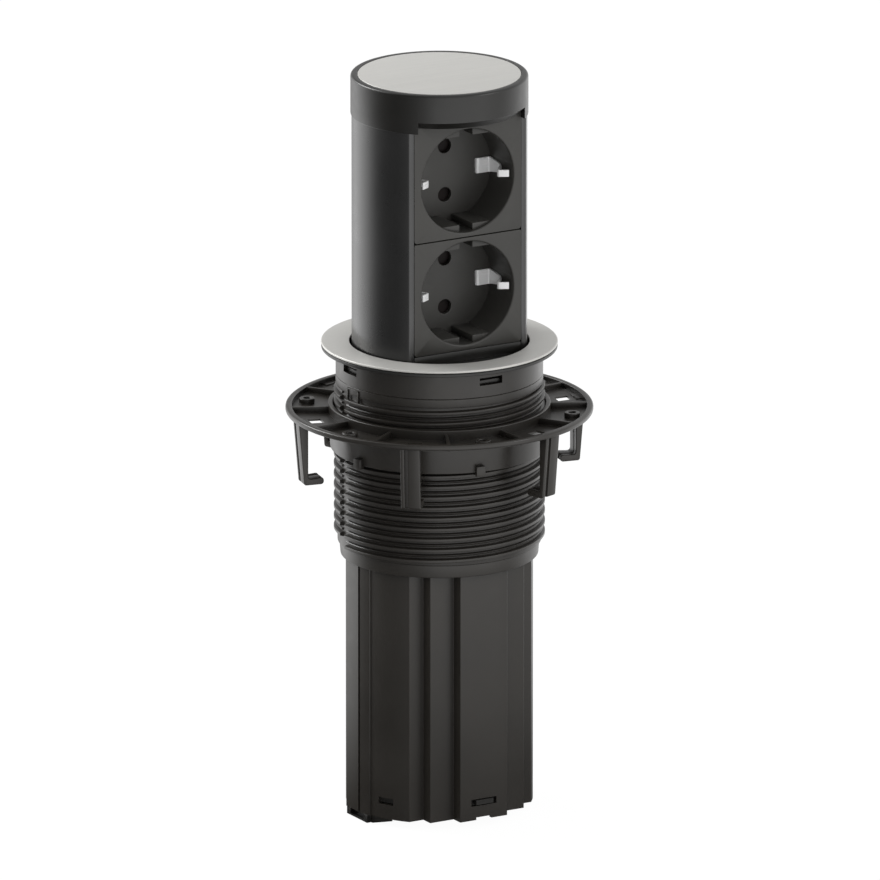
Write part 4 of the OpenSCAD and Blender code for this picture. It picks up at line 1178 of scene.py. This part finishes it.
def clamp_web(hub, rim_in, web, web_low, dip_low, headings):
    """The thin web between hub and rim, with a four-sided hole inside each hook"""
    into_hub, into_rim = 0.5 * MM, 0.3 * MM
    hole_in, hole_out, hole_half = hub + 4.6 * MM, rim_in - 4 * MM, 2.7 * MM
    web_in, web_out = hub - into_hub, rim_in + into_rim
    shell = bmesh.new()
    turned(shell, [(web_in, dip_low), (web_out, web_low), (web_out, web_low + web), (web_in, dip_low + web)])
    for angle in headings:
        out, across = directions(angle)

        def near_hole():
            return [f for f in shell.faces if f.calc_center_median().dot(out) > 0
                    and any(abs(v.co.dot(across)) < 2 * hole_half for v in f.verts)]

        for sign in (-1, 1):
            split(shell, near_hole(), across * sign * hole_half, across)
        for radius in (hole_in, hole_out):
            split(shell, near_hole(), out * radius, out)
        gone = [f for f in shell.faces if hole_in < f.calc_center_median().dot(out) < hole_out
                and abs(f.calc_center_median().dot(across)) < hole_half]
        bmesh.ops.bridge_loops(shell, edges=taken_out(shell, gone))
    return shell


class SOCKET_OT_clamp(bpy.types.Operator):
    """Builds the clamp ring: hub, rim, web, spokes, bosses, hooks and locking tabs"""
    bl_idname = "desk_socket.clamp"
    bl_label = "Clamp ring"

    def execute(self, context):
        sizes = context.scene.socket_clamp
        count, first_hook, spoke_turn, boss_turn = 6, 288.7, 15, 30
        tab_count, first_tab, tab_turn = 5, 193.5, 68
        small, rim_round, sunk, web_lift = 0.35 * MM, 0.8 * MM, 0.4 * MM, 0.15 * MM
        hooks = [first_hook + 360 / count * k for k in range(count)]
        rim_top = HUB_TOP - sizes.hub_rise
        rim_low = rim_top - sizes.rim_height
        bore = CREST_R + sizes.clearance
        hub = bore + sizes.hub_wall
        hub_low, hub_taper = HUB_TOP - sizes.hub_height, 0.8 * MM
        rim_in = RIM_R - sizes.rim
        bm = bmesh.new()
        turned(bm, rounded([
            (bore, hub_low, small), (hub - hub_taper, hub_low, small), (hub, HUB_TOP, small),
            (bore, HUB_TOP, small)]))
        turned(bm, rounded([
            (rim_in, rim_low, small), (RIM_R, rim_low, rim_round), (RIM_R, rim_top, rim_round),
            (rim_in, rim_top, small)]), steps=240)
        web_low, dip_low = rim_low - sizes.web + web_lift, rim_low - sizes.web - sizes.web_dip
        join(bm, clamp_web(hub, rim_in, sizes.web, web_low, dip_low, hooks))
        half = sizes.spoke / 2
        spoke = slab(-half, half, hub - sunk, rim_in + sunk, dip_low + sunk / 2, rim_top - sunk / 2, small)
        turned_copies(bm, spoke, [angle + side * spoke_turn for angle in hooks for side in (-1, 1)])
        boss = bmesh.new()
        turned(boss, rounded([
            (sizes.boss_hole, web_low, 0), (sizes.boss, web_low, 0), (sizes.boss, rim_top - sunk, small),
            (sizes.boss_hole, rim_top - sunk, small)], 3), steps=40)
        bmesh.ops.translate(boss, verts=boss.verts, vec=(RIM_R - sizes.boss_inset, 0, 0))
        turned_copies(bm, boss, [angle + boss_turn for angle in hooks])
        turned_copies(bm, clamp_hook(sizes, rim_low), hooks)
        tab_half, tab_root, tab_tip = 1.8 * MM, bore + 0.3 * MM, hub + 1.1 * MM
        tab_low, tab_high = hub_low - 1.2 * MM, hub_low + 2.8 * MM
        tab = slab(-tab_half, tab_half, tab_root, tab_tip, tab_low, tab_high, small)
        turned_copies(bm, tab, [first_tab + tab_turn * k for k in range(tab_count)])
        piece("clamp", bm, "clamp_ring", "black_plastic", "clamp_ring")
        return {"FINISHED"}


class SOCKET_OT_spring(bpy.types.Operator):
    """Builds the lift spring as one round wire with close end turns"""
    bl_idname = "desk_socket.spring"
    bl_label = "Lift spring"

    def execute(self, context):
        wire, between_ends = 0.9 * MM, 0.5 * MM
        turns, steps = 12, 40
        radius = SPRING_HIGH.x - wire
        low, high = SPRING_LOW.z + wire, SPRING_HIGH.z - wire
        close = 2 * wire + between_ends
        open_turn = (high - low - 2 * close) / (turns - 2)
        bm = bmesh.new()
        made = bmesh.ops.create_circle(bm, cap_ends=True, radius=wire, segments=12)
        bmesh.ops.rotate(bm, verts=made["verts"], cent=ORIGIN, matrix=Matrix.Rotation(math.pi / 2, 3, "X"))
        bmesh.ops.translate(bm, verts=made["verts"], vec=(radius, 0, low))
        front = bm.faces[:]
        for turn in range(turns):
            climb = close if turn in (0, turns - 1) else open_turn
            section = front + [e for f in front for e in f.edges] + [v for f in front for v in f.verts]
            made = bmesh.ops.spin(bm, geom=section, cent=ORIGIN, axis=UP, dvec=UP * climb / steps,
                                  angle=math.tau, steps=steps, use_merge=False, use_duplicate=False)
            front = [item for item in made["geom_last"] if isinstance(item, bmesh.types.BMFace)]
        coil = piece("coil", bm, "housing", "plain_steel", "lift_spring")
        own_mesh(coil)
        return {"FINISHED"}


class SOCKET_OT_apron(bpy.types.Operator):
    """Builds the apron: a stepped foot that runs down inside the case, and a tongue in front of the column"""
    bl_idname = "desk_socket.apron"
    bl_label = "Front apron"

    def execute(self, context):
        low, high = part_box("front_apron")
        case = context.scene.socket_case
        run = case.wall + case.slide_gap
        rib = case.rib - run
        step, step_y = step_corner(case, case.step, run)
        small, behind, foot = 0.3 * MM, 0.5 * MM, 2 * MM
        half = [(step, behind - FACE_Y), (step, -step_y), (rib, -step_y), (rib, low.y)]
        bm = bmesh.new()
        block(bm, half + [(-x, y) for x, y in reversed(half)], low.z, low.z + foot, small)
        join(bm, slab(-FACE_Y, high.y, low.x, high.x, low.z, high.z, small))
        piece("apron", bm, "column", "cap_plastic", "front_apron")
        return {"FINISHED"}


class SOCKET_OT_inside(bpy.types.Operator):
    """Refines the moulded parts that show at the joints' limits, and gives the rest their finish"""
    bl_idname = "desk_socket.inside"
    bl_label = "Inner parts"

    def execute(self, context):
        refined("cover", "terminal_cover", "column", "face_plastic", 0.25 * MM)
        refined("foot", "column_foot", "column", "dark_plastic", 0.25 * MM)
        refined("inlet", "cable_grommet", "housing", "seal_rubber", 0.3 * MM)
        slots = {row["node"]: row["material_slot"] for row in frame["record"]["subparts"]}
        for name, node in frame["nodes"].items():
            node.data.materials.clear()
            node.data.materials.append(bpy.data.materials[FINISH[slots[name]]])
        return {"FINISHED"}


# Stage


# Brightness that gloss sees at each heading, in degrees from the object's right side
STUDIO = ((0, 1.6), (30, 1.6), (60, 0.9), (82, 0.7), (98, 1.8), (114, 2.2), (130, 1.85), (142, 0.8),
          (155, 0.2), (185, 0.14), (215, 0.5), (240, 1.6), (275, 1.6), (300, 1.6), (325, 0.85), (360, 1.6))
STUDIO_PEAK = 2.2


def studio_group():
    """What gloss sees round the object: softboxes behind and in front, dark cloth at the left"""
    tree, source, result = group("studio_light", [("Vector", None)], [("Brightness", "NodeSocketFloat")])
    nodes = Nodes(tree)
    towards = nodes.add("VectorMath", operation="NORMALIZE")
    nodes.put(towards, 0, source.outputs["Vector"])
    parts = nodes.add("SeparateXYZ")
    nodes.put(parts, 0, towards.outputs[0])
    heading = nodes.math("ARCTAN2", parts.outputs["Y"], parts.outputs["X"])
    share = nodes.math("FRACT", nodes.math("DIVIDE", heading, math.tau), 0.0)
    ramp = nodes.add("ValToRGB")
    stops = ramp.color_ramp.elements
    for degrees, brightness in STUDIO[1:-1]:
        stops.new(degrees / 360)
    for stop, (degrees, brightness) in zip(stops, STUDIO):
        stop.position = degrees / 360
        stop.color = (brightness / STUDIO_PEAK,) * 3 + (1,)
    nodes.put(ramp, 0, share)
    # Steepness and brightness where the light weakens, below the object and above the softboxes
    below, above = (-0.9, -0.35, 0.35, STUDIO_PEAK), (0.0, 0.26, 1.0, 0.62)
    low, high = (nodes.level(parts.outputs["Z"], *levels) for levels in (below, above))
    lit = nodes.math("MULTIPLY", ramp.outputs["Color"], nodes.math("MULTIPLY", low, high))
    nodes.put(result, "Brightness", lit)


def studio_world(fill):
    """White behind the object; gloss sees the studio, and the rest is an even fill"""
    world = bpy.data.worlds.new("studio")
    bpy.context.scene.world = world
    world.use_nodes = True
    world.node_tree.nodes.clear()
    nodes = Nodes(world.node_tree)
    rays = nodes.add("LightPath")
    studio = use_group(nodes, "studio_light", vector=nodes.add("TexCoord").outputs["Generated"])
    mirrored = nodes.math("MAXIMUM", rays.outputs["Is Glossy Ray"], rays.outputs["Is Transmission Ray"])
    lit = mixed(nodes, mirrored, [fill] * 3 + [1], studio.outputs[0])
    background = nodes.add("Background")
    nodes.put(background, "Color", mixed(nodes, rays.outputs["Is Camera Ray"], lit, [1, 1, 1, 1]))
    nodes.put(nodes.add("OutputWorld"), "Surface", background.outputs[0])


def lamp(name, place, aim, size, power):
    """A soft square lamp that points at a spot"""
    light = bpy.data.lights.new(name, "AREA")
    light.size = size
    light.energy = power
    thing = bpy.data.objects.new(name, light)
    thing.location = place
    thing.rotation_euler = (Vector(place) - Vector(aim)).to_track_quat("Z", "Y").to_euler()
    bpy.context.scene.collection.objects.link(thing)


def floor_material(tint):
    """Pale floor that looks white to the camera and keeps the object's shadow"""
    nodes, shader, place = start_material("pale_floor")
    shader.inputs["Roughness"].default_value = 0.8
    cloudy = use_group(nodes, "mould_grain", vector=place, grain_size=2 * MM, cloud_size=300 * MM)
    base = srgb(tint)
    nodes.put(shader, "Base Color", mixed(nodes, cloudy.outputs["Tone"], shade(base, 0.97), base))
    paper_white, clearness = 1.04, 0.93
    white = nodes.add("Emission")
    rays = nodes.add("LightPath")
    studio = use_group(nodes, "studio_light", vector=place)
    mirrored = rays.outputs["Is Glossy Ray"]
    nodes.put(white, "Color", mixed(nodes, mirrored, [paper_white] * 3 + [1], studio.outputs[0]))
    blend = nodes.add("MixShader")
    shown = nodes.math("MULTIPLY", rays.outputs["Is Camera Ray"], clearness)
    for socket, value in enumerate((nodes.math("MAXIMUM", shown, mirrored), shader.outputs[0],
                                    white.outputs[0])):
        nodes.put(blend, socket, value)
    nodes.put(nodes.tree.nodes["Material Output"], "Surface", blend.outputs[0])


class SOCKET_OT_stage(bpy.types.Operator):
    """Sets the camera, the soft light and the pale floor"""
    bl_idname = "desk_socket.stage"
    bl_label = "Stage"

    def execute(self, context):
        scene = context.scene
        studio = scene.socket_studio
        scene.view_settings.view_transform = "Standard"
        lens = bpy.data.cameras.new("camera")
        lens.lens = studio.lens
        lens.clip_end = 4 * studio.distance
        camera = bpy.data.objects.new("camera", lens)
        scene.collection.objects.link(camera)
        scene.camera = camera
        turn, tilt = studio.azimuth, studio.elevation
        back = Vector((math.sin(turn) * math.cos(tilt), -math.cos(turn) * math.cos(tilt), math.sin(tilt)))
        right = Vector((math.cos(turn), math.sin(turn), 0))
        aim = right * studio.aim_side - UP * studio.aim_height
        camera.location = aim + back * studio.distance
        camera.rotation_euler = back.to_track_quat("Z", "Y").to_euler()
        studio_group()
        studio_world(studio.fill)
        front_right, back_left, middle = (0.75, -0.95, 0.66), (-0.6, 0.95, 0.7), (0, 0, -0.04)
        lamp("key", front_right, middle, 0.4, studio.key)
        lamp("side", back_left, middle, 0.5, studio.side)
        floor_material(scene.socket_finishes.floor)
        half_floor = 6
        bm = bmesh.new()
        bmesh.ops.create_grid(bm, x_segments=1, y_segments=1, size=half_floor)
        bmesh.ops.translate(bm, verts=bm.verts, vec=(0, 0, CAD_BOUNDS[0][2]))
        mesh = bpy.data.meshes.new("floor")
        bm.to_mesh(mesh)
        bm.free()
        mesh.materials.append(bpy.data.materials["pale_floor"])
        floor = bpy.data.objects.new("floor", mesh)
        scene.collection.objects.link(floor)
        return {"FINISHED"}


PROPERTIES = {"socket_column": ColumnSizes, "socket_flange": FlangeSizes, "socket_clamp": ClampSizes,
              "socket_case": CaseSizes, "socket_finishes": Finishes, "socket_studio": Studio}
STEPS = (SOCKET_OT_finishes, SOCKET_OT_stage, SOCKET_OT_cap, SOCKET_OT_profile, SOCKET_OT_sockets,
         SOCKET_OT_ring, SOCKET_OT_sleeve, SOCKET_OT_case, SOCKET_OT_base, SOCKET_OT_clamp,
         SOCKET_OT_spring, SOCKET_OT_apron, SOCKET_OT_inside)


class SOCKET_PT_sidebar(bpy.types.Panel):
    """Lists the sizes and the steps that build the socket"""
    bl_idname = "SOCKET_PT_sidebar"
    bl_label = "Pop up desk socket"
    bl_space_type = "VIEW_3D"
    bl_region_type = "UI"
    bl_category = "Desk Socket"

    def draw(self, context):
        for step in STEPS:
            self.layout.operator(step.bl_idname)
        for name, sizes in PROPERTIES.items():
            box = self.layout.box()
            for field in sizes.__annotations__:
                box.prop(getattr(context.scene, name), field)


def register():
    for kind in (*PROPERTIES.values(), *STEPS, SOCKET_PT_sidebar):
        bpy.utils.register_class(kind)
    for name, sizes in PROPERTIES.items():
        setattr(bpy.types.Scene, name, PointerProperty(type=sizes))


def unregister():
    for name in PROPERTIES:
        delattr(bpy.types.Scene, name)
    for kind in reversed((*PROPERTIES.values(), *STEPS, SOCKET_PT_sidebar)):
        bpy.utils.unregister_class(kind)


def main():
    register()
    for step in STEPS:
        family, action = step.bl_idname.split(".")
        getattr(getattr(bpy.ops, family), action)()


if __name__ == "__main__":
    main()
